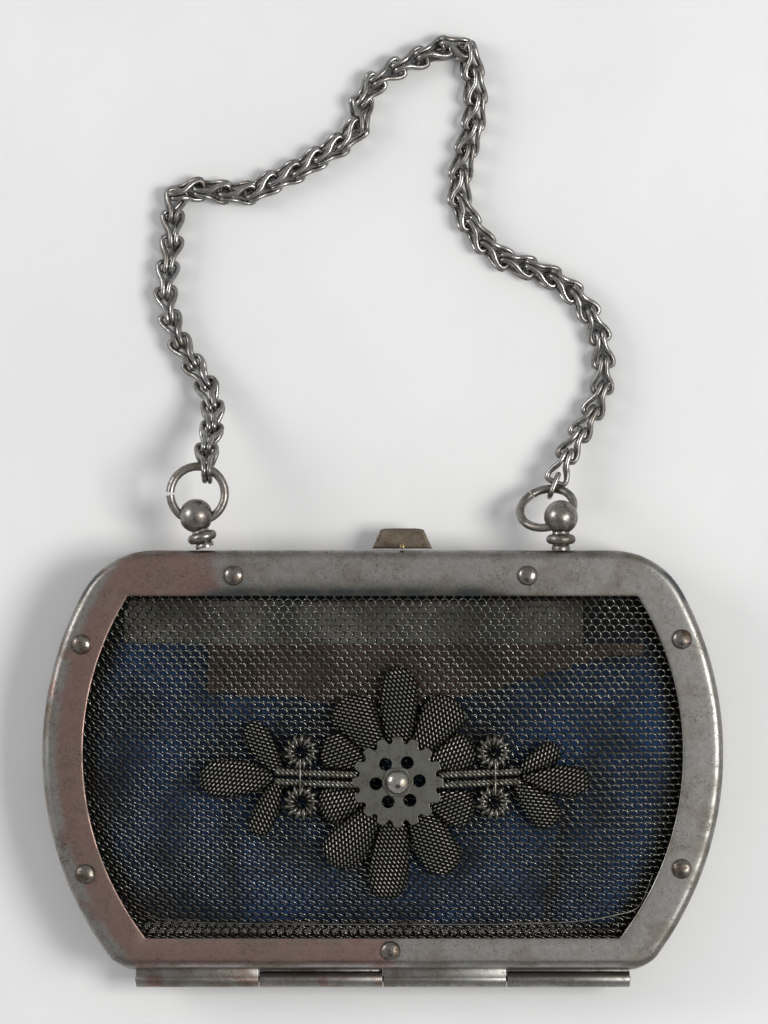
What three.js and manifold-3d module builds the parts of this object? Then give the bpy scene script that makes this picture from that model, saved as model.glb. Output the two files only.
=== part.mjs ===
// Steel-framed chain-mesh purse, lying on its back with the carrying chain laid out above it.
// Millimetres, +Z up out of the front face, +Y towards the chain, origin on the resting surface.
import * as THREE from "three";
import Module from "manifold-3d";

const wasm = await Module();
wasm.setup();

// ---------------------------------------------------------------- sizes
const GAP = 0.3;               // clearance kept between pieces that touch

const SMALLEST_STEP = 0.01;    // joins leave no step finer than this

// frame: two stamped steel halves, a circle cut off straight at top and foot
const FRAME_WIDTH = 120;       // across the side arcs
const ARC_CENTRE_Y = 2.8;      // centre of the side arcs
const FRAME_TOP = 38.6;        // straight top edge
const FRAME_FOOT = -34.6;      // ridge above the hinge
const TOP_CORNER = 14;         // radius between top edge and side arc
const FOOT_CORNER = 5.5;
const SIDE_BAR = 7.2;          // face widths of the bar round the opening
const TOP_BAR = 8;
const FOOT_BAR = 5;
const OPENING_CORNER = 0.7;
const HALF_DEPTH = 6.4;        // one half, from parting plane to face
const STEEL_WALL = 0.8;
const BEVEL_DEPTH = 1.5;       // rolled outer edge
const LIP_DROP = 0.7;          // inner edge of the face turns down
const FOOT_FLARE = 1;          // foot wall leans out to the hinge
const BACK_STANDOFF = 1.2;     // back face above the resting surface

// hinge along the foot
const HINGE_LENGTH = 87.6;
const KNUCKLES = 4;
const KNUCKLE_RADIUS = 1.4;
const PIN_RADIUS = 0.55;
const LEAF_THICKNESS = 1.15;

// rivets through the face
const RIVET_HEAD_RADIUS = 1.75;
const RIVET_HEAD_HEIGHT = 0.9;
const RIVET_SHANK_RADIUS = 0.6;
const RIVET_TAIL = 0.5;        // shank past the inside of the face

// linked-wire net, two panels, and the silk behind the front one
const NET_THICKNESS = 1;
const NET_HEM = 1.6;           // net tucked under the lip
const FRONT_CROWN = 5.3;
const BACK_CROWN = 4;
const SILK_THICKNESS = 1;
const SILK_SPACE = 0.6;
const SILK_MARGIN = 2.2;       // silk stops short of the opening

// turned finials with their rings
const FINIAL_X = 31.4;
const FINIAL_DROP = 2.4;       // axis below the front face
const FINIAL_LEAN = 16;        // degrees, left one only
const FOOT_RADIUS = 1.65;
const COLLAR_RADIUS = 2.4;
const NECK_RADIUS = 1.3;
const BALL_RADIUS = 2.85;
const BALL_OFFSET = 5.9;       // ball centre from the top wall
const TENON_RADIUS = 0.7;
const RING_RADIUS = 4.8;       // centreline
const RING_WIRE_RADIUS = 0.75;
const RING_SPLIT = 0.5;
const RING_SEAT = 0.95;        // centreline below the ball's centre, towards the collar

// loop-in-loop carrying chain
const CHAIN_WIRE_RADIUS = 0.43;
const CHAIN_SPACING = 0.5;     // half the room that each wire takes
const CHAIN_PITCH = 4.6;
const CHAIN_FUSE = 0.7;        // between the middles of two wires where they are fused
const CHAIN_SLOPE = 11;        // length over which it comes down from a ring
const CHAIN_EYE = 0.5;         // half spacing of a link's two end loops
const CHAIN_REACH = 90.2;      // top of its loop above the frame's top edge
const CHAIN_SPREAD = 39.2;     // widest point of its loop from the middle

// press catch behind the top edge
const CATCH_X = 3.4;
const CATCH_WIDTH = 10.7;
const CATCH_TIP_WIDTH = 7.7;
const CATCH_REACH = 3.9;
const CATCH_THICKNESS = 0.8;
const CATCH_HEIGHT = 5.3;      // plate above the resting surface
const NIB_WIDTH = 0.8;

// wire-work ornament on the front net
const ORNAMENT_X = 2.6;
const ORNAMENT_Y = -1.9;
const DISC_RADIUS = 8;
const DISC_TEETH = 16;
const DISC_TOOTH = 0.95;
const DISC_THICKNESS = 0.7;
const DISC_HOLE_RADIUS = 1.15;
const DISC_HOLE_CIRCLE = 3.7;
const DISC_HOLES = 6;
const DISC_HOLE_TURN = 4;
const WASHER_RADIUS = 2.65;
const WASHER_LOBES = 8;
const WASHER_THICKNESS = 0.5;
const BOSS_RADIUS = 1.85;
const BOSS_HEIGHT = 1.1;
const BOSS_SHANK_RADIUS = 0.7;
const PETAL_START = 5.6;       // petals begin under the disc
const PETAL_EDGE = 0.45;
const PETAL_RISE = 0.55;       // spine above the edge
const SPRAY_OFFSET = 20.5;     // side sprays, from the disc centre
const SPRAY_RISE = 0.9;        // and above it
const SPRAY_START = 1.5;
const SCROLL_RADIUS = 2.75;
const SCROLL_WIRE_RADIUS = 0.36;
const SCROLL_TURNS = 2;
const SCROLL_X = 16.9;         // scroll centres, from the disc centre
const SCROLL_Y = 4.4;
const STEM_WIRE_RADIUS = 0.42;
const STEM_SPACING = 1.3;

// ---------------------------------------------------------------- tables
// face section: share of the bar from outer edge to opening, drop below the face
const FACE_SECTION = [
  { across: 0, drop: BEVEL_DEPTH },
  { across: 0.07, drop: BEVEL_DEPTH * 0.3 },
  { across: 0.22, drop: 0 },
  { across: 0.66, drop: 0 },
  { across: 1, drop: LIP_DROP },
];
// rings of a net panel from the opening's edge to its middle
const PANEL_RINGS = [{ share: 1 }, { share: 0.92 }, { share: 0.78 }, { share: 0.58 }, { share: 0.3 }];
// face rivets: on the top and foot bars by share of half the width, on the side arcs by angle
const RIVETS = [
  { bar: "top", along: -0.437 }, { bar: "top", along: 0.425 },
  { bar: "side", angle: 160 }, { bar: "side", angle: 21 },
  { bar: "side", angle: 202 }, { bar: "side", angle: -21 },
  { bar: "foot", along: 0.023 },
];
// leaf outline: share of length, share of half width
const LEAF = [
  { along: 0, half: 0.42 }, { along: 0.32, half: 0.88 }, { along: 0.62, half: 1 }, { along: 0.88, half: 0.6 },
];
const ROSETTE_PETALS = [
  { name: "top", angle: 90, reach: 19.5, width: 6 },
  { name: "upper_left", angle: 124.5, reach: 17.1, width: 7.4 },
  { name: "left_upper", angle: 155, reach: 14.2, width: 5.3, stem: "left" },
  { name: "left_lower", angle: 198.4, reach: 13.9, width: 5.3, stem: "right" },
  { name: "lower_left", angle: 231.2, reach: 18.5, width: 6.5 },
  { name: "foot", angle: 264.1, reach: 20.5, width: 6.5 },
  { name: "lower_right", angle: 300.3, reach: 18.1, width: 6.3 },
  { name: "right_lower", angle: 339.4, reach: 13.6, width: 5.6, stem: "left" },
  { name: "right_upper", angle: 386, reach: 14.4, width: 5.3, stem: "right" },
  { name: "upper_right", angle: 416, reach: 17, width: 6.8 },
];
const SPRAY_PETALS = {
  left: [
    { name: "up", angle: 120.7, reach: 11, width: 4.7 },
    { name: "out", angle: 182, reach: 14.4, width: 6.6 },
    { name: "down", angle: 247, reach: 11.3, width: 4.4 },
  ],
  right: [
    { name: "down", angle: -50, reach: 11, width: 5.8 },
    { name: "out", angle: -4.5, reach: 13.4, width: 5.3 },
    { name: "up", angle: 34.3, reach: 9.4, width: 3.9 },
  ],
};
// how each ring lies in its finial: direction through the bore, direction away from it,
// and the angles from the first to the second at which the chain hooks on and the wire is split
const RINGS = {
  left: { across: [1, 0, 0], out: [0, 1, 0], hook: 68, split: 180 },
  right: { across: [0.84, 0.49, -0.24], out: [-0.5, 0.53, -0.69], hook: 45, split: 93 },
};
// route of the carrying chain on the surface, from the right ring round to the left one:
// shares of the spread from the middle and of the reach above the frame's top edge
const CHAIN_ROUTE = [
  { x: 0.8214, y: 0.1774 }, { x: 0.898, y: 0.235 }, { x: 0.9872, y: 0.3038 }, { x: 1, y: 0.3814 },
  { x: 0.9617, y: 0.4501 }, { x: 0.8622, y: 0.5089 }, { x: 0.727, y: 0.5477 }, { x: 0.5714, y: 0.5676 },
  { x: 0.4668, y: 0.6009 }, { x: 0.4031, y: 0.6375 }, { x: 0.3495, y: 0.6818 }, { x: 0.3469, y: 0.7306 },
  { x: 0.3724, y: 0.7805 }, { x: 0.4031, y: 0.8248 }, { x: 0.4209, y: 0.8692 }, { x: 0.4184, y: 0.9146 },
  { x: 0.3954, y: 0.959 }, { x: 0.3673, y: 1 }, { x: 0.2372, y: 0.9834 }, { x: 0.125, y: 0.9634 },
  { x: 0.023, y: 0.9424 }, { x: -0.0587, y: 0.9146 }, { x: -0.1046, y: 0.8792 }, { x: -0.1046, y: 0.8348 },
  { x: -0.1837, y: 0.8038 }, { x: -0.2883, y: 0.7761 }, { x: -0.3903, y: 0.7483 }, { x: -0.5026, y: 0.7273 },
  { x: -0.5969, y: 0.704 }, { x: -0.75, y: 0.7073 }, { x: -0.8929, y: 0.714 }, { x: -0.9745, y: 0.6851 },
  { x: -0.9464, y: 0.653 }, { x: -0.9668, y: 0.5865 }, { x: -0.9872, y: 0.5089 }, { x: -0.9464, y: 0.4302 },
  { x: -0.8673, y: 0.3714 }, { x: -0.7857, y: 0.3137 }, { x: -0.7679, y: 0.255 }, { x: -0.7959, y: 0.1962 },
];

// ---------------------------------------------------------------- materials
const steel = new THREE.MeshStandardMaterial({ color: "#8d8682", metalness: 0.9, roughness: 0.38 });
const chainSteel = new THREE.MeshStandardMaterial({ color: "#9a9896", metalness: 0.95, roughness: 0.25 });
const net = new THREE.MeshStandardMaterial({ color: "#6f706a", metalness: 0.8, roughness: 0.45 });
const silk = new THREE.MeshStandardMaterial({ color: "#232c44", metalness: 0, roughness: 0.7 });
const tarnished = new THREE.MeshStandardMaterial({ color: "#6b5f50", metalness: 0.8, roughness: 0.5 });

// ---------------------------------------------------------------- levels
const BACK_RIM = BACK_STANDOFF + HALF_DEPTH;
const FRONT_RIM = BACK_RIM + GAP;
const FRONT_FACE = FRONT_RIM + HALF_DEPTH;
const HINGE_Z = (BACK_RIM + FRONT_RIM) / 2;
const HINGE_Y = FRAME_FOOT - FOOT_FLARE - GAP - KNUCKLE_RADIUS;
const HEM_LEVEL = HALF_DEPTH - LIP_DROP - STEEL_WALL - GAP;

// the two halves share one drawing, taken up from the front rim or down from the back one
const front = (z) => FRONT_RIM + z;
const back = (z) => BACK_RIM - z;

// ---------------------------------------------------------------- helpers
const radians = THREE.MathUtils.degToRad;
const mix = THREE.MathUtils.lerp;

/** Closed solid from points and triangles, turned outwards if need be. */
function solid(points, triangles) {
  const make = (tris) => new wasm.Manifold(new wasm.Mesh({
    numProp: 3,
    vertProperties: new Float32Array(points.flat()),
    triVerts: new Uint32Array(tris.flat()),
  }));
  const body = make(triangles);
  return body.volume() > 0 ? body : make(triangles.map(([a, b, c]) => [a, c, b]));
}

/** Named mesh of a solid. */
function node(name, body, material) {
  const { vertProperties, triVerts, numProp } = body.asOriginal().simplify(SMALLEST_STEP).getMesh();
  const geometry = new THREE.BufferGeometry();
  const flat = [];
  for (const v of triVerts) flat.push(...vertProperties.slice(v * numProp, v * numProp + 3));
  geometry.setAttribute("position", new THREE.Float32BufferAttribute(flat, 3));
  geometry.computeVertexNormals();
  const mesh = new THREE.Mesh(geometry, material);
  mesh.name = name;
  return mesh;
}

/** Solid of a grid of rings that closes on itself in both directions. */
function loopLoft(rings) {
  const rows = rings.length, cols = rings[0].length, triangles = [];
  for (let i = 0; i < rows; i++) for (let j = 0; j < cols; j++) {
    const a = i * cols + j, b = i * cols + (j + 1) % cols;
    const c = ((i + 1) % rows) * cols + j, d = ((i + 1) % rows) * cols + (j + 1) % cols;
    triangles.push([a, b, d], [a, d, c]);
  }
  return solid(rings.flat(), triangles);
}

/** Solid of rings stacked from a first middle point to a last one. */
function cappedLoft(first, rings, last) {
  const cols = rings[0].length, triangles = [], points = [first, ...rings.flat(), last];
  const at = (i, j) => 1 + i * cols + (j % cols);
  for (let j = 0; j < cols; j++) {
    triangles.push([0, at(0, j + 1), at(0, j)]);
    triangles.push([points.length - 1, at(rings.length - 1, j), at(rings.length - 1, j + 1)]);
    for (let i = 0; i + 1 < rings.length; i++) {
      triangles.push([at(i, j), at(i, j + 1), at(i + 1, j + 1)], [at(i, j), at(i + 1, j + 1), at(i + 1, j)]);
    }
  }
  return solid(points, triangles);
}

/** Solid turned about +Z from a list of { r, z }, on its own axis at both ends. */
function turned(profile, sides) {
  const rings = profile.slice(1, -1).map(({ r, z }) => Array.from({ length: sides }, (_, k) => {
    const angle = (2 * Math.PI * (k + 0.5)) / sides;
    return [r * Math.cos(angle), r * Math.sin(angle), z];
  }));
  return cappedLoft([0, 0, profile[0].z], rings, [0, 0, profile.at(-1).z]);
}

const rod = (radius, z0, z1, sides) => turned([{ z: z0 }, { r: radius, z: z0 }, { r: radius, z: z1 }, { z: z1 }], sides);
const box = (x0, x1, y0, y1, z0, z1) => wasm.Manifold.cube([x1 - x0, y1 - y0, z1 - z0]).translate([x0, y0, z0]);

/** Round wire along a list of points, open or closed. */
function wire(points, radius, sides, closed) {
  const path = points.map((p) => new THREE.Vector3(...p));
  const count = path.length;
  const steps = path.map((p, i) => path[(i + 1) % count].clone().sub(p).normalize());
  const into = (i) => (closed || i > 0 ? steps[(i + count - 1) % count] : steps[0]);
  const out = (i) => (closed || i < count - 1 ? steps[i] : steps[count - 2]);
  const tangents = path.map((_, i) => into(i).clone().add(out(i)).normalize());
  // the section is carried along without turning about the wire
  const carry = (direction, from, to) => direction.clone().applyQuaternion(new THREE.Quaternion().setFromUnitVectors(from, to));
  const onward = (direction, i) => carry(carry(direction, tangents[i], steps[i]), steps[i], tangents[(i + 1) % count]);
  const frames = [];
  let across = new THREE.Vector3(0.31, 0.17, 0.94).cross(tangents[0]).normalize();
  for (let i = 0; i < count; i++) {
    frames.push({ across, up: tangents[i].clone().cross(across) });
    if (closed || i < count - 1) across = onward(across, i);
  }
  // a closed wire meets its start again turned: whole steps shift the join, the rest is spread along it
  const step = (2 * Math.PI) / sides;
  const turned = closed ? Math.atan2(across.dot(frames[0].up), across.dot(frames[0].across)) : 0;
  const shift = Math.round(turned / step), twist = turned - shift * step;
  // at a sharp bend the section is widened, as a mitre is, so that the wire keeps its thickness
  const mitres = path.map((_, i) => ({
    bend: out(i).clone().sub(into(i)).normalize(),
    widen: 1 / Math.max(into(i).clone().add(out(i)).length() / 2, 0.6) - 1,
  }));
  const rings = path.map((p, i) => Array.from({ length: sides }, (_, k) => {
    const angle = step * k - (twist * i) / count;
    const offset = frames[i].across.clone().multiplyScalar(radius * Math.cos(angle)).addScaledVector(frames[i].up, radius * Math.sin(angle));
    return p.clone().add(offset).addScaledVector(mitres[i].bend, offset.dot(mitres[i].bend) * mitres[i].widen).toArray();
  }));
  if (!closed) return cappedLoft(path[0].toArray(), rings, path[count - 1].toArray());
  const triangles = [];
  for (let i = 0; i < count; i++) for (let k = 0; k < sides; k++) {
    const row = ((i + 1) % count) * sides, turn = i === count - 1 ? shift + 2 * sides : 0;
    const a = i * sides + k, b = i * sides + (k + 1) % sides;
    const c = row + (k + turn) % sides, d = row + (k + 1 + turn) % sides;
    triangles.push([a, b, d], [a, d, c]);
  }
  return solid(rings.flat(), triangles);
}

// ---------------------------------------------------------------- outlines
/** Size of the frame's outline at a share of the way from its outer edge to the opening. */
function frameShape(across, flare = 0) {
  return {
    radius: mix(FRAME_WIDTH / 2, FRAME_WIDTH / 2 - SIDE_BAR, across),
    top: mix(FRAME_TOP, FRAME_TOP - TOP_BAR, across),
    foot: mix(FRAME_FOOT - flare, FRAME_FOOT + FOOT_BAR, across),
    topCorner: mix(TOP_CORNER, OPENING_CORNER, across),
    footCorner: mix(FOOT_CORNER, OPENING_CORNER, across),
  };
}

/** The opening's outline, grown outwards by a margin. */
function openingShape(margin) {
  const edge = frameShape(1);
  return { ...edge, radius: edge.radius + margin, top: edge.top + margin, foot: edge.foot - margin };
}

/** Points of an outline, anticlockwise: side arc, corner, straight edge, corner, and so round. */
function outline({ radius, top, foot, topCorner, footCorner }, { arc, corner, line }) {
  const centre = (edge, c) => {
    const y = edge > 0 ? edge - c : edge + c;
    return { x: Math.sqrt((radius - c) ** 2 - (y - ARC_CENTRE_Y) ** 2), y, c };
  };
  const high = centre(top, topCorner), low = centre(foot, footCorner);
  const highAngle = Math.atan2(high.y - ARC_CENTRE_Y, high.x), lowAngle = Math.atan2(low.y - ARC_CENTRE_Y, low.x);
  const right = [];
  for (let i = 0; i <= arc; i++) {
    const angle = mix(lowAngle, highAngle, i / arc);
    right.push([radius * Math.cos(angle), ARC_CENTRE_Y + radius * Math.sin(angle)]);
  }
  for (let i = 1; i <= corner; i++) {
    const angle = mix(highAngle, Math.PI / 2, i / corner);
    right.push([high.x + high.c * Math.cos(angle), high.y + high.c * Math.sin(angle)]);
  }
  const under = [];
  for (let i = 1; i <= corner; i++) {
    const angle = mix(lowAngle, -Math.PI / 2, i / corner);
    under.unshift([low.x + low.c * Math.cos(angle), low.y + low.c * Math.sin(angle)]);
  }
  const side = [...under, ...right];
  const points = [...side];
  for (let i = 1; i < line; i++) points.push([mix(high.x, -high.x, i / line), top]);
  points.push(...side.map(([x, y]) => [-x, y]).reverse());
  for (let i = 1; i < line; i++) points.push([mix(-low.x, low.x, i / line), foot]);
  return points;
}

// ---------------------------------------------------------------- frame halves
const FRAME_COUNTS = { arc: 9, corner: 2, line: 1 };
const PANEL_COUNTS = { arc: 6, corner: 1, line: 5 };

/** Middle of the bar's face where a rivet sits. */
function rivetPlace({ bar, along, angle }) {
  if (bar === "top") return [(along * FRAME_WIDTH) / 2, FRAME_TOP - TOP_BAR * 0.55];
  if (bar === "foot") return [(along * FRAME_WIDTH) / 2, FRAME_FOOT + FOOT_BAR * 0.55];
  const radius = FRAME_WIDTH / 2 - SIDE_BAR * 0.5;
  return [radius * Math.cos(radians(angle)), ARC_CENTRE_Y + radius * Math.sin(radians(angle))];
}

/** One stamped half with its hinge knuckles and the holes of its rivets. */
function frameHalf(level, knuckles, rivets) {
  const skin = FACE_SECTION.map(({ across, drop }) => ({ across, z: HALF_DEPTH - drop }));
  const wallShare = STEEL_WALL / SIDE_BAR;
  const inside = FACE_SECTION.map(({ across, drop }, i) => ({
    across: i < 2 ? Math.max(across, wallShare) : across,
    z: HALF_DEPTH - Math.max(drop, i < 2 ? BEVEL_DEPTH * 0.6 : 0) - STEEL_WALL,
  }));
  // sections run from the rim over the face to the lip and back inside
  const section = [{ across: 0, z: 0 }, ...skin, ...inside.slice(1).reverse(), { across: wallShare, z: 0 }];
  const rings = section.map(({ across, z }) => {
    const flare = FOOT_FLARE * (1 - z / HALF_DEPTH);
    return outline(frameShape(across, flare), FRAME_COUNTS).map(([x, y]) => [x, y, level(z)]);
  });
  let body = loopLoft(rings);

  const pitch = HINGE_LENGTH / KNUCKLES;
  const leafInner = FRAME_FOOT - FOOT_FLARE + STEEL_WALL * 0.5;
  const low = Math.min(level(0), level(LEAF_THICKNESS)), high = Math.max(level(0), level(LEAF_THICKNESS));
  for (const k of knuckles) {
    const x0 = -HINGE_LENGTH / 2 + k * pitch + (k === 0 ? 0 : GAP / 2);
    const x1 = -HINGE_LENGTH / 2 + (k + 1) * pitch - (k === KNUCKLES - 1 ? 0 : GAP / 2);
    const barrel = rod(KNUCKLE_RADIUS, x0, x1, 10).rotate([0, 90, 0]).translate([0, HINGE_Y, HINGE_Z]);
    const leaf = box(x0, x1, HINGE_Y, leafInner, low, high);
    const bore = rod((PIN_RADIUS + GAP) / Math.cos(Math.PI / 8), x0 - 1, x1 + 1, 8)
      .rotate([0, 90, 0]).translate([0, HINGE_Y, HINGE_Z]);
    body = body.add(barrel.add(leaf).subtract(bore));
  }
  for (const place of rivets) {
    const [x, y] = rivetPlace(place);
    body = body.subtract(rod((RIVET_SHANK_RADIUS + GAP) / Math.cos(Math.PI / 6), level(1), level(HALF_DEPTH + 1), 6).translate([x, y, 0]));
  }
  return body;
}

/** Domed rivet with its shank through the front face. */
function rivet([x, y]) {
  const seat = HALF_DEPTH + GAP, tail = HALF_DEPTH - STEEL_WALL - RIVET_TAIL;
  const head = RIVET_HEAD_RADIUS;
  return turned([
    { z: tail }, { r: RIVET_SHANK_RADIUS, z: tail }, { r: RIVET_SHANK_RADIUS, z: seat }, { r: head, z: seat },
    { r: head * 0.72, z: seat + RIVET_HEAD_HEIGHT * 0.72 }, { z: seat + RIVET_HEAD_HEIGHT },
  ], 8).translate([x, y, front(0)]);
}

// ---------------------------------------------------------------- net and silk
/** Height of a panel's crown over its hem, zero along the opening's edge. */
function crown(x, y, height, limit) {
  const edge = openingShape(-GAP);
  const middle = (edge.top + edge.foot) / 2, half = (edge.top - edge.foot) / 2;
  const round = Math.min(Math.hypot(x, y - ARC_CENTRE_Y) / edge.radius, 1);
  const straight = Math.min(Math.abs(y - middle) / half, 1);
  return Math.min(height * (1 - round ** 4) * (1 - straight ** 4), limit);
}

/** Crowned sheet filling the opening, with an optional hem under the lip. */
function sheet({ level, top, thickness, height, limit, inset, hem }) {
  const shape = openingShape(-inset);
  const middle = (shape.top + shape.foot) / 2;
  const edge = outline(shape, PANEL_COUNTS);
  const over = PANEL_RINGS.map(({ share }) => edge.map(([x, y]) => [x * share, middle + (y - middle) * share]));
  if (hem) over.unshift(outline(openingShape(hem), PANEL_COUNTS));
  const raise = (ring, drop) => ring.map(([x, y]) => [x, y, level(top - drop + crown(x, y, height, limit))]);
  const peak = (drop) => [0, middle, level(top - drop + crown(0, middle, height, limit))];
  return cappedLoft(peak(0), [
    ...over.map((ring) => raise(ring, 0)).reverse(),
    ...over.map((ring) => raise(ring, thickness)),
  ], peak(thickness));
}

/** Top of the front net, which the ornament follows. */
const netTop = (x, y) => front(HEM_LEVEL) + crown(x, y, FRONT_CROWN, Infinity);

// ---------------------------------------------------------------- ornament
/** One leaf-shaped pad lying on the net, kept inside its share of the fan and clear of the stem beside it. */
function petal([cx, cy], start, { angle, reach, width, stem }, leftRoom, rightRoom) {
  const along = [Math.cos(radians(angle)), Math.sin(radians(angle))];
  const stemRoom = STEM_SPACING / 2 + STEM_WIRE_RADIUS + GAP;
  const room = (distance, degrees, clear) => {
    const half = radians(Math.min(degrees, 70));
    return Math.max(distance * Math.tan(half) - clear / Math.cos(half), GAP);
  };
  const points = [];
  const place = (distance, side) => [cx + along[0] * distance - along[1] * side, cy + along[1] * distance + along[0] * side];
  for (const row of LEAF) {
    const distance = mix(start, reach, row.along), half = (row.half * width) / 2;
    const left = place(distance, Math.min(half, room(distance, leftRoom, stem === "left" ? stemRoom : GAP / 2)));
    const right = place(distance, -Math.min(half, room(distance, rightRoom, stem === "right" ? stemRoom : GAP / 2)));
    points.push([left, place(distance, 0), right]);
  }
  const tip = place(reach, 0);
  const under = ([x, y]) => [x, y, netTop(x, y) + GAP];
  const over = ([x, y], rise) => [x, y, netTop(x, y) + GAP + PETAL_EDGE + rise];
  const vertices = [], triangles = [];
  points.forEach((row, i) => {
    const rise = PETAL_RISE * (i === 0 ? 0.5 : 1);
    vertices.push(over(row[0], 0), over(row[1], rise), over(row[2], 0), under(row[0]), under(row[1]), under(row[2]));
  });
  vertices.push(over(tip, 0), under(tip));
  const at = (i, k) => i * 6 + k, last = points.length - 1, tipTop = vertices.length - 2, tipUnder = vertices.length - 1;
  const quad = (a, b, c, d) => triangles.push([a, b, c], [a, c, d]);
  for (let i = 0; i < last; i++) {
    quad(at(i, 0), at(i, 1), at(i + 1, 1), at(i + 1, 0));
    quad(at(i, 1), at(i, 2), at(i + 1, 2), at(i + 1, 1));
    quad(at(i, 4), at(i, 3), at(i + 1, 3), at(i + 1, 4));
    quad(at(i, 5), at(i, 4), at(i + 1, 4), at(i + 1, 5));
    quad(at(i, 3), at(i, 0), at(i + 1, 0), at(i + 1, 3));
    quad(at(i, 2), at(i, 5), at(i + 1, 5), at(i + 1, 2));
  }
  triangles.push([at(last, 0), at(last, 1), tipTop], [at(last, 1), at(last, 2), tipTop]);
  triangles.push([at(last, 4), at(last, 3), tipUnder], [at(last, 5), at(last, 4), tipUnder]);
  quad(at(last, 3), at(last, 0), tipTop, tipUnder);
  quad(at(last, 2), at(last, 5), tipUnder, tipTop);
  quad(at(0, 0), at(0, 3), at(0, 4), at(0, 1));
  quad(at(0, 1), at(0, 4), at(0, 5), at(0, 2));
  return solid(vertices, triangles);
}

/** A fan of petals with the half angle that each may take on either side. */
function fan(petals, wrap) {
  return petals.map((one, i) => {
    const next = petals[i + 1] ?? (wrap ? { angle: petals[0].angle + 360 } : { angle: one.angle + 180 });
    const before = petals[i - 1] ?? (wrap ? { angle: petals.at(-1).angle - 360 } : { angle: one.angle - 180 });
    return { one, left: (next.angle - one.angle) / 2, right: (one.angle - before.angle) / 2 };
  });
}

/** Flat ring of teeth or lobes, extruded up from z. */
function plate(radiusAt, steps, z, thickness, holes) {
  const ring = Array.from({ length: steps }, (_, i) => {
    const angle = (2 * Math.PI * i) / steps, radius = radiusAt(i);
    return [ORNAMENT_X + radius * Math.cos(angle), ORNAMENT_Y + radius * Math.sin(angle)];
  });
  let body = cappedLoft([ORNAMENT_X, ORNAMENT_Y, z + thickness],
    [ring.map(([x, y]) => [x, y, z + thickness]), ring.map(([x, y]) => [x, y, z])], [ORNAMENT_X, ORNAMENT_Y, z]);
  for (const { x, y, radius, sides } of holes) {
    body = body.subtract(rod(radius, z - 1, z + thickness + 1, sides).translate([ORNAMENT_X + x, ORNAMENT_Y + y, 0]));
  }
  return body;
}

/** Two scrolls, the upright between them and the double stem of one side, soldered into one piece. */
function scrollwork(side) {
  const lie = ([x, y], lift = SCROLL_WIRE_RADIUS) => [x, y, netTop(x, y) + GAP + lift];
  const cx = ORNAMENT_X + side * SCROLL_X;
  const parts = [];
  for (const up of [1, -1]) {
    const steps = 7 * SCROLL_TURNS, outer = SCROLL_RADIUS - SCROLL_WIRE_RADIUS, inner = SCROLL_WIRE_RADIUS * 1.6;
    const coil = Array.from({ length: steps + 1 }, (_, i) => {
      const radius = mix(outer, inner, i / steps);
      const angle = (2 * Math.PI * SCROLL_TURNS * i) / steps;
      return lie([cx + side * radius * Math.cos(angle), ORNAMENT_Y + up * (SCROLL_Y - radius * Math.sin(angle))]);
    });
    parts.push(wire(coil, SCROLL_WIRE_RADIUS, 5, false));
  }
  const uprightX = cx + side * (SCROLL_RADIUS - SCROLL_WIRE_RADIUS);
  const upright = [1, 0.33, -0.33, -1].map((k) => lie([uprightX, ORNAMENT_Y + k * SCROLL_Y]));
  parts.push(wire(upright, SCROLL_WIRE_RADIUS, 5, false));
  const stemEnd = SPRAY_OFFSET - 0.2, stemStart = PETAL_START + 2.6;
  for (const k of [0.5, -0.5]) {
    const at = (reach) => [ORNAMENT_X + side * reach, ORNAMENT_Y + (SPRAY_RISE * reach) / SPRAY_OFFSET + k * STEM_SPACING];
    parts.push(wire([0, 0.5, 1].map((t) => lie(at(mix(stemStart, stemEnd, t)), STEM_WIRE_RADIUS)), STEM_WIRE_RADIUS, 6, false));
  }
  return wasm.Manifold.union(parts);
}

// ---------------------------------------------------------------- finials, rings and chain
const FINIAL_Z = FRONT_FACE - FINIAL_DROP;
const finials = {
  left: { x: -FINIAL_X, lean: FINIAL_LEAN },
  right: { x: FINIAL_X, lean: 0 },
};

/** How far a leaning finial's foot is lifted so that its low edge still clears the wall. */
const footLift = (lean) => GAP + FOOT_RADIUS * Math.sin(radians(lean));

/** Ball centre of a finial. */
function ballCentre({ x, lean }) {
  const reach = BALL_OFFSET - GAP;
  return [x - reach * Math.sin(radians(lean)), FRAME_TOP + footLift(lean) + reach * Math.cos(radians(lean)), FINIAL_Z];
}

/** Centre and plane of a ring that hangs in a finial's bore: across the bore, and out from it. */
function ringFrame(which) {
  const { lean } = finials[which], { across: [ax, ay, az], out: [ox, oy, oz] } = RINGS[which];
  const across = new THREE.Vector3(ax, ay, az).normalize(), out = new THREE.Vector3(ox, oy, oz);
  out.addScaledVector(across, -out.dot(across)).normalize();
  const axis = new THREE.Vector3(-Math.sin(radians(lean)), Math.cos(radians(lean)), 0);
  const centre = new THREE.Vector3(...ballCentre(finials[which])).addScaledVector(axis, -RING_SEAT).addScaledVector(out, RING_RADIUS);
  return { across, out, centre };
}

const ringPoint = ({ across, out, centre }, angle) => centre.clone()
  .addScaledVector(across, RING_RADIUS * Math.cos(angle)).addScaledVector(out, RING_RADIUS * Math.sin(angle));

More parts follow.
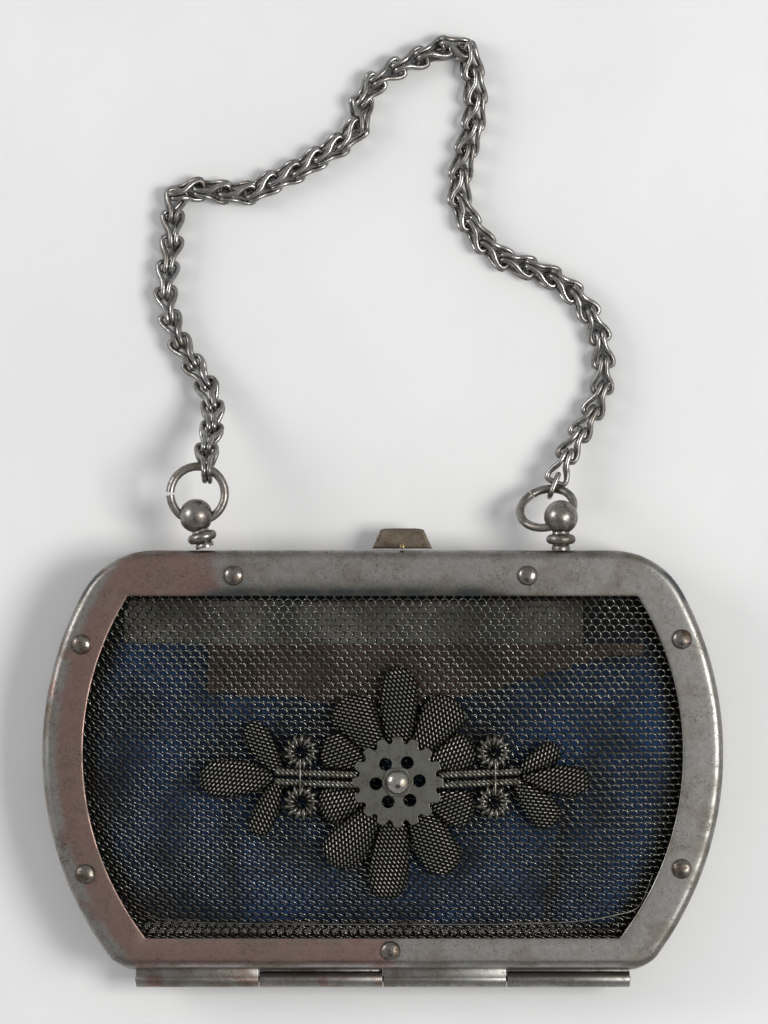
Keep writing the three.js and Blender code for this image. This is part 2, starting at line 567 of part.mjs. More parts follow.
/** Turned finial, its ball bored to the ring's curve, with a tenon through the frame's wall. */
function finial(which) {
  const { x, lean } = finials[which];
  const knop = turned([
    { z: GAP }, { r: FOOT_RADIUS, z: GAP }, { r: FOOT_RADIUS, z: GAP + 0.4 }, { r: COLLAR_RADIUS * 0.5, z: GAP + 0.7 },
    { r: COLLAR_RADIUS, z: GAP + 1.3 }, { r: COLLAR_RADIUS * 0.9, z: GAP + 2 }, { r: NECK_RADIUS, z: GAP + 2.6 },
    { r: BALL_RADIUS * 0.7, z: BALL_OFFSET - BALL_RADIUS * 0.72 }, { r: BALL_RADIUS, z: BALL_OFFSET - BALL_RADIUS * 0.15 },
    { r: BALL_RADIUS * 0.88, z: BALL_OFFSET + BALL_RADIUS * 0.5 }, { r: BALL_RADIUS * 0.45, z: BALL_OFFSET + BALL_RADIUS * 0.9 },
    { z: BALL_OFFSET + BALL_RADIUS },
  ], 12).translate([0, 0, -GAP]).rotate([0, -lean, 0]).translate([0, 0, footLift(lean)]);
  const tenon = rod(TENON_RADIUS, -STEEL_WALL - GAP, footLift(lean) + 0.3, 8);
  const half = Math.asin(Math.min(BALL_RADIUS / RING_RADIUS, 1)) * 1.25;
  const path = Array.from({ length: 7 }, (_, i) => ringPoint(ringFrame(which), -Math.PI / 2 + mix(-half, half, i / 6)).toArray());
  return knop.add(tenon).rotate([-90, 0, 0]).translate([x, FRAME_TOP, FINIAL_Z])
    .subtract(wire(path, RING_WIRE_RADIUS + GAP, 8, false));
}

/** Split wire ring. */
function ring(which) {
  const frame = ringFrame(which);
  const open = RING_SPLIT / RING_RADIUS / 2, steps = 16, split = radians(RINGS[which].split);
  return wire(Array.from({ length: steps + 1 }, (_, i) =>
    ringPoint(frame, mix(split + open, split + 2 * Math.PI - open, i / steps)).toArray()), RING_WIRE_RADIUS, 6, false);
}

/** Directions of a link: along the route, across it and up through it. */
function linkFrame(from, to) {
  const along = to.clone().sub(from).normalize();
  const across = new THREE.Vector3(0, 0, 1).cross(along).normalize();
  return { along, across, up: along.clone().cross(across) };
}

/** Points of a link given across, up and along its frame. */
const framed = (origin, { along, across, up }, u, v, t) => origin.clone()
  .addScaledVector(across, u).addScaledVector(up, v).addScaledVector(along, t).toArray();

/** One loop-in-loop link: an oval folded in half, its two end loops round the next link's fold, or round a ring. */
function link(from, to, after) {
  const w = CHAIN_SPACING, s = CHAIN_EYE, pitch = to.distanceTo(from);
  const here = linkFrame(from, to);
  const at = (u, v, t) => framed(from, here, u, v, t);
  // one end loop is pulled tight on the next fold, where the chain is fused, and the other hangs free
  const tight = after ? framed(to, linkFrame(to, after), s, w, CHAIN_FUSE) : at(s, 0, pitch + 2.4 * w);
  const loose = at(-s, 0, pitch + 2.4 * w), near = after ? 1.4 : 1.8, gape = after ? 3.2 : 4.1;
  return wire([
    at(s + 2.55 * w, w, 0), at(s, gape * w, pitch + near * w), tight, at(s, -gape * w, pitch + (4.2 - near) * w * 0.86), at(s + 2.55 * w, -w, 0),
    at(-s - 2.55 * w, -w, 0), at(-s, -gape * w, pitch + 1.8 * w), loose, at(-s, gape * w, pitch + 1.8 * w), at(-s - 2.55 * w, w, 0),
  ], CHAIN_WIRE_RADIUS, 5, true);
}

/** Oval loop that joins the first link's fold to the right ring. */
function endLoop(onRing, from, to) {
  const w = CHAIN_SPACING, reach = from.distanceTo(onRing), frame = linkFrame(onRing, from);
  const inside = -(RING_WIRE_RADIUS + CHAIN_WIRE_RADIUS + GAP);
  const at = (v, t) => framed(onRing, frame, 0, v, t);
  return wire([at(0, inside), at(2.9 * w, inside * 0.6), at(3.2 * w, reach + 1.4 * w), framed(from, linkFrame(from, to), 0, w, CHAIN_FUSE),
    at(-3.2 * w, reach + 2.4 * w), at(-2.9 * w, inside * 0.6)], CHAIN_WIRE_RADIUS, 5, true);
}

/** Middle line of the chain: from the right ring down onto the surface, round, and up to the left ring. */
function chainCurve() {
  const lie = 3.2 * CHAIN_SPACING + CHAIN_WIRE_RADIUS;
  const hook = (which) => ringPoint(ringFrame(which), radians(RINGS[which].hook));
  const right = hook("right"), left = hook("left").lerp(ringFrame("left").centre, (GAP * 1.5) / RING_RADIUS);
  const points = CHAIN_ROUTE.map(({ x, y }) => new THREE.Vector3(x * CHAIN_SPREAD, FRAME_TOP + y * CHAIN_REACH, lie));
  for (const [start, near] of [[right, points.slice(0, 6)], [left, points.slice(-6)]]) {
    for (const p of near) p.z = lie + (start.z - lie) * Math.exp(-((Math.hypot(p.x - start.x, p.y - start.y) / CHAIN_SLOPE) ** 2)) * 0.92;
  }
  const curve = new THREE.CatmullRomCurve3([right, ...points, left], false, "centripetal");
  curve.arcLengthDivisions = 2000;
  return curve;
}

/** The links from ring to ring, with the loop at the right ring first. */
function chainLinks() {
  const curve = chainCurve(), length = curve.getLength();
  const first = (RING_WIRE_RADIUS + CHAIN_WIRE_RADIUS + GAP * 1.5) / length;
  const count = Math.round((length * (1 - first)) / CHAIN_PITCH);
  const knots = Array.from({ length: count + 1 }, (_, i) => curve.getPointAt(mix(first, 1, i / count)));
  return [endLoop(curve.getPointAt(0), knots[0], knots[1]), ...knots.slice(0, -1).map((p, i) => link(p, knots[i + 1], knots[i + 2]))];
}

// ---------------------------------------------------------------- catch
function pressCatch() {
  const y0 = FRAME_TOP + GAP, y1 = FRAME_TOP + CATCH_REACH, z0 = CATCH_HEIGHT, z1 = CATCH_HEIGHT + CATCH_THICKNESS;
  const corners = [[-CATCH_WIDTH / 2, y0], [CATCH_WIDTH / 2, y0], [CATCH_TIP_WIDTH / 2, y1], [-CATCH_TIP_WIDTH / 2, y1]];
  const tab = cappedLoft([0, (y0 + y1) / 2, z0], [corners.map(([x, y]) => [x, y, z0]), corners.map(([x, y]) => [x, y, z1])],
    [0, (y0 + y1) / 2, z1]);
  const nib = box(-NIB_WIDTH / 2, NIB_WIDTH / 2, y0, y0 + NIB_WIDTH, z1 - 0.1, FRONT_FACE - BEVEL_DEPTH * 0.4);
  return tab.add(nib).translate([CATCH_X, 0, 0]);
}

// ---------------------------------------------------------------- assembly
const pieces = new THREE.Group();
pieces.name = "mesh_purse";
const put = (name, body, material) => pieces.add(node(name, body, material));

// finials' tenons pass the front half's wall
const tenonHole = (x) => rod(TENON_RADIUS + GAP, -STEEL_WALL * 2, GAP, 8).rotate([-90, 0, 0]).translate([x, FRAME_TOP, FINIAL_Z]);
put("front_frame", frameHalf(front, [0, 2], RIVETS).subtract(tenonHole(-FINIAL_X)).subtract(tenonHole(FINIAL_X)), steel);
put("back_frame", frameHalf(back, [1, 3], []), steel);
put("hinge_pin", rod(PIN_RADIUS, -HINGE_LENGTH / 2, HINGE_LENGTH / 2, 8).rotate([0, 90, 0]).translate([0, HINGE_Y, HINGE_Z]), steel);
RIVETS.forEach((place, i) => put(`rivet_${i + 1}`, rivet(rivetPlace(place)), steel));

put("front_net", sheet({ level: front, top: HEM_LEVEL, thickness: NET_THICKNESS, height: FRONT_CROWN, limit: Infinity, inset: GAP * 1.5, hem: NET_HEM }), net);
put("back_net", sheet({ level: back, top: HEM_LEVEL, thickness: NET_THICKNESS, height: BACK_CROWN, limit: BACK_RIM - HEM_LEVEL, inset: GAP * 1.5, hem: NET_HEM }), net);
put("front_silk", sheet({ level: front, top: HEM_LEVEL - NET_THICKNESS - SILK_SPACE, thickness: SILK_THICKNESS, height: FRONT_CROWN, limit: Infinity, inset: SILK_MARGIN, hem: 0 }), silk);

for (const { one, left, right } of fan(ROSETTE_PETALS, true)) {
  put(`petal_${one.name}`, petal([ORNAMENT_X, ORNAMENT_Y], PETAL_START, one, left, right), net);
}
for (const [name, side] of [["left", -1], ["right", 1]]) {
  for (const { one, left, right } of fan(SPRAY_PETALS[name], false)) {
    put(`spray_${name}_${one.name}`, petal([ORNAMENT_X + side * SPRAY_OFFSET, ORNAMENT_Y + SPRAY_RISE], SPRAY_START, one, left, right), net);
  }
  put(`scrollwork_${name}`, scrollwork(side), steel);
}
const discZ = netTop(ORNAMENT_X, ORNAMENT_Y) + GAP + PETAL_EDGE + PETAL_RISE + GAP;
const washerZ = discZ + DISC_THICKNESS + GAP, bossZ = washerZ + WASHER_THICKNESS + GAP;
const shankHole = { x: 0, y: 0, radius: BOSS_SHANK_RADIUS + GAP, sides: 6 };
const discHoles = Array.from({ length: DISC_HOLES }, (_, i) => {
  const angle = (2 * Math.PI * i) / DISC_HOLES + (DISC_HOLE_TURN * Math.PI) / 180;
  return { x: DISC_HOLE_CIRCLE * Math.cos(angle), y: DISC_HOLE_CIRCLE * Math.sin(angle), radius: DISC_HOLE_RADIUS, sides: 8 };
});
put("rosette_disc", plate((i) => (i % 4 < 2 ? DISC_RADIUS : DISC_RADIUS - DISC_TOOTH), DISC_TEETH * 4, discZ, DISC_THICKNESS, [...discHoles, shankHole]), steel);
put("rosette_washer", plate((i) => (i % 2 ? WASHER_RADIUS : WASHER_RADIUS * 0.86), WASHER_LOBES * 2, washerZ, WASHER_THICKNESS, [shankHole]), steel);
put("rosette_boss", turned([
  { z: netTop(ORNAMENT_X, ORNAMENT_Y) + GAP }, { r: BOSS_SHANK_RADIUS, z: netTop(ORNAMENT_X, ORNAMENT_Y) + GAP },
  { r: BOSS_SHANK_RADIUS, z: bossZ }, { r: BOSS_RADIUS, z: bossZ }, { r: BOSS_RADIUS * 0.85, z: bossZ + BOSS_HEIGHT * 0.5 },
  { r: BOSS_RADIUS * 0.45, z: bossZ + BOSS_HEIGHT * 0.9 }, { z: bossZ + BOSS_HEIGHT },
], 10).translate([ORNAMENT_X, ORNAMENT_Y, 0]), steel);

for (const which of ["left", "right"]) {
  put(`finial_${which}`, finial(which), steel);
  put(`ring_${which}`, ring(which), steel);
}
put("carrying_chain", wasm.Manifold.union(chainLinks()), chainSteel);
put("press_catch", pressCatch(), tarnished);

export default pieces;
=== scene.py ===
"""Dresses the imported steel-framed mesh purse with its fine pieces, finishes, light and camera."""
import logging
import math
import random
from collections.abc import Callable, Sequence
from dataclasses import dataclass, field
from enum import Enum

import bmesh
import bpy
from mathutils import Matrix, Vector


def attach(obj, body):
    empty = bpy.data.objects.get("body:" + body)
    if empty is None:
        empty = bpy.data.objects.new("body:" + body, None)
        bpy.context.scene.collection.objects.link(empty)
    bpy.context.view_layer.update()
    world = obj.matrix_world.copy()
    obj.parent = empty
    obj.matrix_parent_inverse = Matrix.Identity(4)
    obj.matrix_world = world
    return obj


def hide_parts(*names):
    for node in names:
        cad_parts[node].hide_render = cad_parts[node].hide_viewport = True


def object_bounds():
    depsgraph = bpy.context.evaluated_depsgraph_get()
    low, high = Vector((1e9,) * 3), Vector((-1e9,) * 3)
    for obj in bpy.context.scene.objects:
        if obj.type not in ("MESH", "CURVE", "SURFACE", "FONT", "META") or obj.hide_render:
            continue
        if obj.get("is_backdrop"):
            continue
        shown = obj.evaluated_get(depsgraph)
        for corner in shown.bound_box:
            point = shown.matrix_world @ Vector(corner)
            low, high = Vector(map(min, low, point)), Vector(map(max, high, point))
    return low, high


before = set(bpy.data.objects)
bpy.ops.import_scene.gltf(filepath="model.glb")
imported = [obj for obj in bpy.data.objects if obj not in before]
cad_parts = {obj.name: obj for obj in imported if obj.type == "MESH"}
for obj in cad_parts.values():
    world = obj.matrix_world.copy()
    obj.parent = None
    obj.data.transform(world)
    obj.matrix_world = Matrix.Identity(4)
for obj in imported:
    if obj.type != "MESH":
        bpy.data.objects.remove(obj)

log = logging.getLogger("mesh_purse")

MM = 0.001
GAP = 0.3
X_AXIS, Y_AXIS, Z_AXIS = Vector((1, 0, 0)), Vector((0, 1, 0)), Vector((0, 0, 1))
Flat = tuple[float, float]
Colour = tuple[float, float, float]


class Body(Enum):
    """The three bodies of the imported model."""

    BACK = "back_half"
    FRONT = "front_half"
    CATCH = "catch"


class Side(Enum):
    """Left and right of the purse, with the sign of X."""

    LEFT = -1
    RIGHT = 1

    @property
    def word(self) -> str:
        """The side's name as the pieces spell it."""
        return self.name.lower()


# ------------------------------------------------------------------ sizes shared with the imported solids
@dataclass(frozen=True)
class Drawing:
    """Sizes of the frame's drawing, in millimetres."""

    width: float = 120
    arc_y: float = 2.8
    top: float = 38.6
    foot: float = -34.6
    top_corner: float = 14
    foot_corner: float = 5.5
    side_bar: float = 7.2
    top_bar: float = 8
    foot_bar: float = 5
    opening_corner: float = 0.7
    depth: float = 6.4
    wall: float = 0.8
    bevel: float = 1.5
    lip: float = 0.7
    flare: float = 1.0
    back_rim: float = 7.6
    front_rim: float = 7.9
    hem: float = 4.6
    hinge_y: float = -37.3
    hinge_z: float = 7.75
    hinge_length: float = 87.6
    front_crown: float = 5.3
    back_crown: float = 4.0

    def front(self, height: float) -> float:
        """Level of a height above the front half's rim."""
        return self.front_rim + height

    def back(self, height: float) -> float:
        """Level of a height below the back half's rim."""
        return self.back_rim - height

    @property
    def face(self) -> float:
        """Level of the front face."""
        return self.front(self.depth)


DRAWING = Drawing()


@dataclass(frozen=True)
class Outline:
    """Side arcs joined by straight top and foot edges with rounded corners."""

    radius: float
    top: float
    foot: float
    top_corner: float
    foot_corner: float

    @classmethod
    def across_bar(cls, share: float, flare: float = 0.0) -> "Outline":
        """Outline at a share of the way from the frame's outer edge to its opening.

        Args:
            share: 0 at the outer edge, 1 at the opening.
            flare: how far the foot leans out.

        Returns:
            The outline.
        """
        d = DRAWING
        return cls(
            mix(d.width / 2, d.width / 2 - d.side_bar, share),
            mix(d.top, d.top - d.top_bar, share),
            mix(d.foot - flare, d.foot + d.foot_bar, share),
            mix(d.top_corner, d.opening_corner, share),
            mix(d.foot_corner, d.opening_corner, share),
        )

    @classmethod
    def opening(cls, margin: float) -> "Outline":
        """The opening grown by a margin."""
        edge = cls.across_bar(1)
        return cls(edge.radius + margin, edge.top + margin, edge.foot - margin, edge.top_corner, edge.foot_corner)

    def points(self, arc: int, corner: int, line: int) -> list[Flat]:
        """Points round the outline, anticlockwise.

        Args:
            arc: steps in a side arc.
            corner: steps in a corner.
            line: steps in a straight edge.

        Returns:
            The points, from the foot of the right side.
        """
        cy = DRAWING.arc_y

        def centre(y: float, c: float) -> Flat:
            """Centre of the corner that leads from the arc to an edge."""
            return math.sqrt((self.radius - c) ** 2 - (y - cy) ** 2), y

        hx, hy = centre(self.top - self.top_corner, self.top_corner)
        lx, ly = centre(self.foot + self.foot_corner, self.foot_corner)
        high, low = math.atan2(hy - cy, hx), math.atan2(ly - cy, lx)
        side = []
        for i in range(corner, 0, -1):
            a = mix(low, -math.pi / 2, i / corner)
            side.append((lx + self.foot_corner * math.cos(a), ly + self.foot_corner * math.sin(a)))
        for i in range(arc + 1):
            a = mix(low, high, i / arc)
            side.append((self.radius * math.cos(a), cy + self.radius * math.sin(a)))
        for i in range(1, corner + 1):
            a = mix(high, math.pi / 2, i / corner)
            side.append((hx + self.top_corner * math.cos(a), hy + self.top_corner * math.sin(a)))
        over = [(mix(hx, -hx, i / line), self.top) for i in range(1, line)]
        under = [(mix(-lx, lx, i / line), self.foot) for i in range(1, line)]
        return side + over + [(-x, y) for x, y in reversed(side)] + under

    def holds(self, x: float, y: float) -> bool:
        """True if a point lies inside, corners taken as sharp."""
        return self.foot < y < self.top and math.hypot(x, y - DRAWING.arc_y) < self.radius


def mix(a: float, b: float, t: float) -> float:
    """Value a share of the way from a to b."""
    return a + (b - a) * t


def ramp(low: float, high: float, value: float) -> float:
    """Smooth step from 0 at low to 1 at high."""
    t = min(max((value - low) / (high - low), 0.0), 1.0)
    return t * t * (3 - 2 * t)


def crown(x: float, y: float, height: float) -> float:
    """Height of a panel's crown over its hem, zero along the opening's edge.

    Args:
        x: place across, in millimetres.
        y: place up the face, in millimetres.
        height: the crown's height at its middle.

    Returns:
        The height at that place.
    """
    edge = Outline.opening(-GAP)
    middle, half = (edge.top + edge.foot) / 2, (edge.top - edge.foot) / 2
    around = min(math.hypot(x, y - DRAWING.arc_y) / edge.radius, 1)
    straight = min(abs(y - middle) / half, 1)
    return height * (1 - around ** 4) * (1 - straight ** 4)


def net_top(x: float, y: float) -> float:
    """Level of the top of the front net, which the ornament follows."""
    return DRAWING.front(DRAWING.hem) + crown(x, y, DRAWING.front_crown)


# ------------------------------------------------------------------ mesh helpers
def smooth_path(points: Sequence[Vector], steps: int, closed: bool = False) -> list[Vector]:
    """Rounded path through points.

    Args:
        points: the points that it passes.
        steps: steps between two of them.
        closed: whether it runs back to its start.

    Returns:
        The finer list of points.
    """
    n = len(points)
    path = []
    for i in range(n if closed else n - 1):
        if closed:
            a, b, c, d = (points[(i + k) % n] for k in (-1, 0, 1, 2))
        else:
            a, b, c, d = points[max(i - 1, 0)], points[i], points[i + 1], points[min(i + 2, n - 1)]
        for k in range(steps):
            t = k / steps
            path.append(0.5 * (2 * b + (c - a) * t + (2 * a - 5 * b + 4 * c - d) * t ** 2 + (3 * b - a - 3 * c + d) * t ** 3))
    if not closed:
        path.append(points[-1].copy())
    return path


def wire_mesh(paths: Sequence[Sequence[Vector]], radius: float, sides: int = 8, closed: bool = False) -> bpy.types.Mesh:
    """Round wire along each of several paths.

    Args:
        paths: lists of points, in millimetres.
        radius: of the wire.
        sides: of its section.
        closed: whether each path runs back to its start.

    Returns:
        One mesh, in millimetres.
    """
    curve = bpy.data.curves.new("wire", "CURVE")
    curve.dimensions = "3D"
    curve.bevel_depth = radius
    curve.bevel_resolution = max((sides - 4) // 2, 0)
    curve.use_fill_caps = not closed
    for path in paths:
        spline = curve.splines.new("POLY")
        spline.points.add(len(path) - 1)
        for point, place in zip(spline.points, path):
            point.co = (*place, 1)
        spline.use_cyclic_u = closed
    carrier = bpy.data.objects.new("wire", curve)
    mesh = bpy.data.meshes.new_from_object(carrier)
    bpy.data.objects.remove(carrier)
    bpy.data.curves.remove(curve)
    return mesh


def mesh_of(bm: bmesh.types.BMesh, turn_out: bool = True) -> bpy.types.Mesh:
    """Mesh of a bmesh, which is freed.

    Args:
        bm: the shape, in millimetres.
        turn_out: whether its normals are recalculated outwards.

    Returns:
        The mesh.
    """
    if turn_out:
        bmesh.ops.recalc_face_normals(bm, faces=bm.faces)
    mesh = bpy.data.meshes.new("shape")
    bm.to_mesh(mesh)
    bm.free()
    return mesh


def joined(meshes: Sequence[bpy.types.Mesh]) -> bpy.types.Mesh:
    """Several meshes as one, with the separate ones removed."""
    bm = bmesh.new()
    for mesh in meshes:
        bm.from_mesh(mesh)
    for mesh in meshes:
        bpy.data.meshes.remove(mesh)
    return mesh_of(bm, turn_out=False)


def lofted(rings: Sequence[Sequence[Sequence[float]]], closed: bool = False) -> bpy.types.Mesh:
    """Skin over rings of points, made by extruding the first one along.

    Args:
        rings: the rings, each with the same count of points.
        closed: whether the last ring meets the first one.

    Returns:
        The mesh, in millimetres.
    """
    bm = bmesh.new()
    verts = [bm.verts.new(p) for p in rings[0]]
    edges = [bm.edges.new((verts[i - 1], verts[i])) for i in range(len(verts))]
    for ring in [*rings[1:], *([rings[0]] if closed else [])]:
        made = bmesh.ops.extrude_edge_only(bm, edges=edges)["geom"]
        fresh = {g for g in made if isinstance(g, bmesh.types.BMVert)}
        verts = [next(e.other_vert(v) for e in v.link_edges if e.other_vert(v) in fresh) for v in verts]
        for vert, place in zip(verts, ring):
            vert.co = place
        edges = [bm.edges.get((verts[i - 1], verts[i])) for i in range(len(verts))]
    bmesh.ops.remove_doubles(bm, verts=bm.verts, dist=1e-5)
    return mesh_of(bm)


def turned(profile: Sequence[Flat], steps: int = 40) -> bmesh.types.BMesh:
    """Shape turned about +Z.

    Args:
        profile: radius and height of each point, on the axis at both ends.
        steps: of the turn.

    Returns:
        A bmesh, in millimetres.
    """
    bm = bmesh.new()
    verts = [bm.verts.new((r, 0, z)) for r, z in profile]
    edges = [bm.edges.new(pair) for pair in zip(verts, verts[1:])]
    bmesh.ops.spin(bm, geom=[*verts, *edges], axis=Z_AXIS, cent=(0, 0, 0), steps=steps, angle=math.tau, use_merge=True)
    bmesh.ops.remove_doubles(bm, verts=bm.verts, dist=1e-5)
    return bm


def cut(mesh: bpy.types.Mesh, cutter: bpy.types.Mesh) -> bpy.types.Mesh:
    """A mesh with another one taken out of it; both are used up."""
    block = bpy.data.objects.new("block", mesh)
    tool = bpy.data.objects.new("tool", cutter)
    for item in (block, tool):
        bpy.context.scene.collection.objects.link(item)
    modifier = block.modifiers.new("cut", "BOOLEAN")
    modifier.operation, modifier.solver, modifier.object = "DIFFERENCE", "EXACT", tool
    modifier.use_self = True
    result = bpy.data.meshes.new_from_object(block.evaluated_get(bpy.context.evaluated_depsgraph_get()))
    for item in (block, tool):
        bpy.data.objects.remove(item)
    bpy.data.meshes.remove(mesh)
    bpy.data.meshes.remove(cutter)
    return result


def fit(name: str, mesh: bpy.types.Mesh, finish: bpy.types.Material, body: Body,
        stands_for: Sequence[str] = (), crease: float = 38.0) -> bpy.types.Object:
    """Puts a finished piece on the purse.

    Args:
        name: of the piece.
        mesh: its shape, in millimetres.
        finish: its material.
        body: what it rides on.
        stands_for: solids that it replaces.
        crease: angle in degrees past which an edge stays sharp.

    Returns:
        The piece.
    """
    mesh.transform(Matrix.Scale(MM, 4))
    mesh.name = name
    mesh.materials.clear()
    mesh.materials.append(finish)
    mesh.shade_smooth()
    mesh.set_sharp_from_angle(angle=math.radians(crease))
    piece = bpy.data.objects.new(name, mesh)
    bpy.context.scene.collection.objects.link(piece)
    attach(piece, body.value)
    if stands_for:
        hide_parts(*stands_for)
    log.info("%s: %d faces on %s", name, len(mesh.polygons), body.value)
    return piece


# ------------------------------------------------------------------ shader effects
class Sheet:
    """A node tree that is being written."""

    def __init__(self, tree: bpy.types.NodeTree) -> None:
        """Starts on an empty tree."""
        self.tree = tree
        tree.nodes.clear()

    def add(self, kind: str, inputs: dict | None = None, **settings: object) -> bpy.types.Node:
        """Adds a node.

        Args:
            kind: the node's type.
            inputs: sockets by name or number, each with a value or a socket to link.
            settings: the node's own properties.

        Returns:
            The node.
        """
        node = self.tree.nodes.new(kind)
        for key, value in settings.items():
            setattr(node, key, value)
        for key, value in (inputs or {}).items():
            if isinstance(value, bpy.types.NodeSocket):
                self.tree.links.new(value, node.inputs[key])
            else:
                node.inputs[key].default_value = value
        return node

    def maths(self, operation: str, *values: object) -> bpy.types.NodeSocket:
        """Result of a sum on numbers or sockets."""
        return self.add("ShaderNodeMath", dict(enumerate(values)), operation=operation).outputs[0]

    def blend(self, share: object, first: object, second: object) -> bpy.types.NodeSocket:
        """Colour a share of the way from the first to the second."""
        node = self.add("ShaderNodeMix", {0: share, 6: first, 7: second}, data_type="RGBA")
        return node.outputs[2]

    def step(self, value: object, low: float, high: float, start: float = 0.0, end: float = 1.0) -> bpy.types.NodeSocket:
        """Value spread smoothly from start to end between low and high."""
        node = self.add("ShaderNodeMapRange", {0: value, 1: low, 2: high, 3: start, 4: end}, interpolation_type="SMOOTHSTEP")
        return node.outputs[0]

    def noise(self, vector: object, scale: object, detail: float = 3.0, rough: float = 0.55) -> bpy.types.NodeSocket:
        """Noise from 0 to 1."""
        node = self.add("ShaderNodeTexNoise", {"Vector": vector, "Scale": scale, "Detail": detail, "Roughness": rough})
        return node.outputs[0]

    def place(self) -> bpy.types.NodeSocket:
        """Place on the piece, in millimetres."""
        spot = self.add("ShaderNodeTexCoord").outputs["Object"]
        return self.add("ShaderNodeVectorMath", {0: spot, "Scale": 1 / MM}, operation="SCALE").outputs[0]

    def reach(self, spot: bpy.types.NodeSocket) -> bpy.types.NodeSocket:
        """Distance of a place from the middle that the frame's side arcs share."""
        flat = self.add("ShaderNodeVectorMath", {0: spot, 1: (1.0, 1.0, 0.0), 2: (0.0, -DRAWING.arc_y, 0.0)}, operation="MULTIPLY_ADD")
        return self.add("ShaderNodeVectorMath", {0: flat.outputs[0]}, operation="LENGTH").outputs["Value"]


class Effect(Enum):
    """Effects that more than one finish uses."""

    TARNISH = "tarnish"
    GRAIN = "grain"
    LINKED_WIRE = "linked_wire"
    WEAVE = "weave"


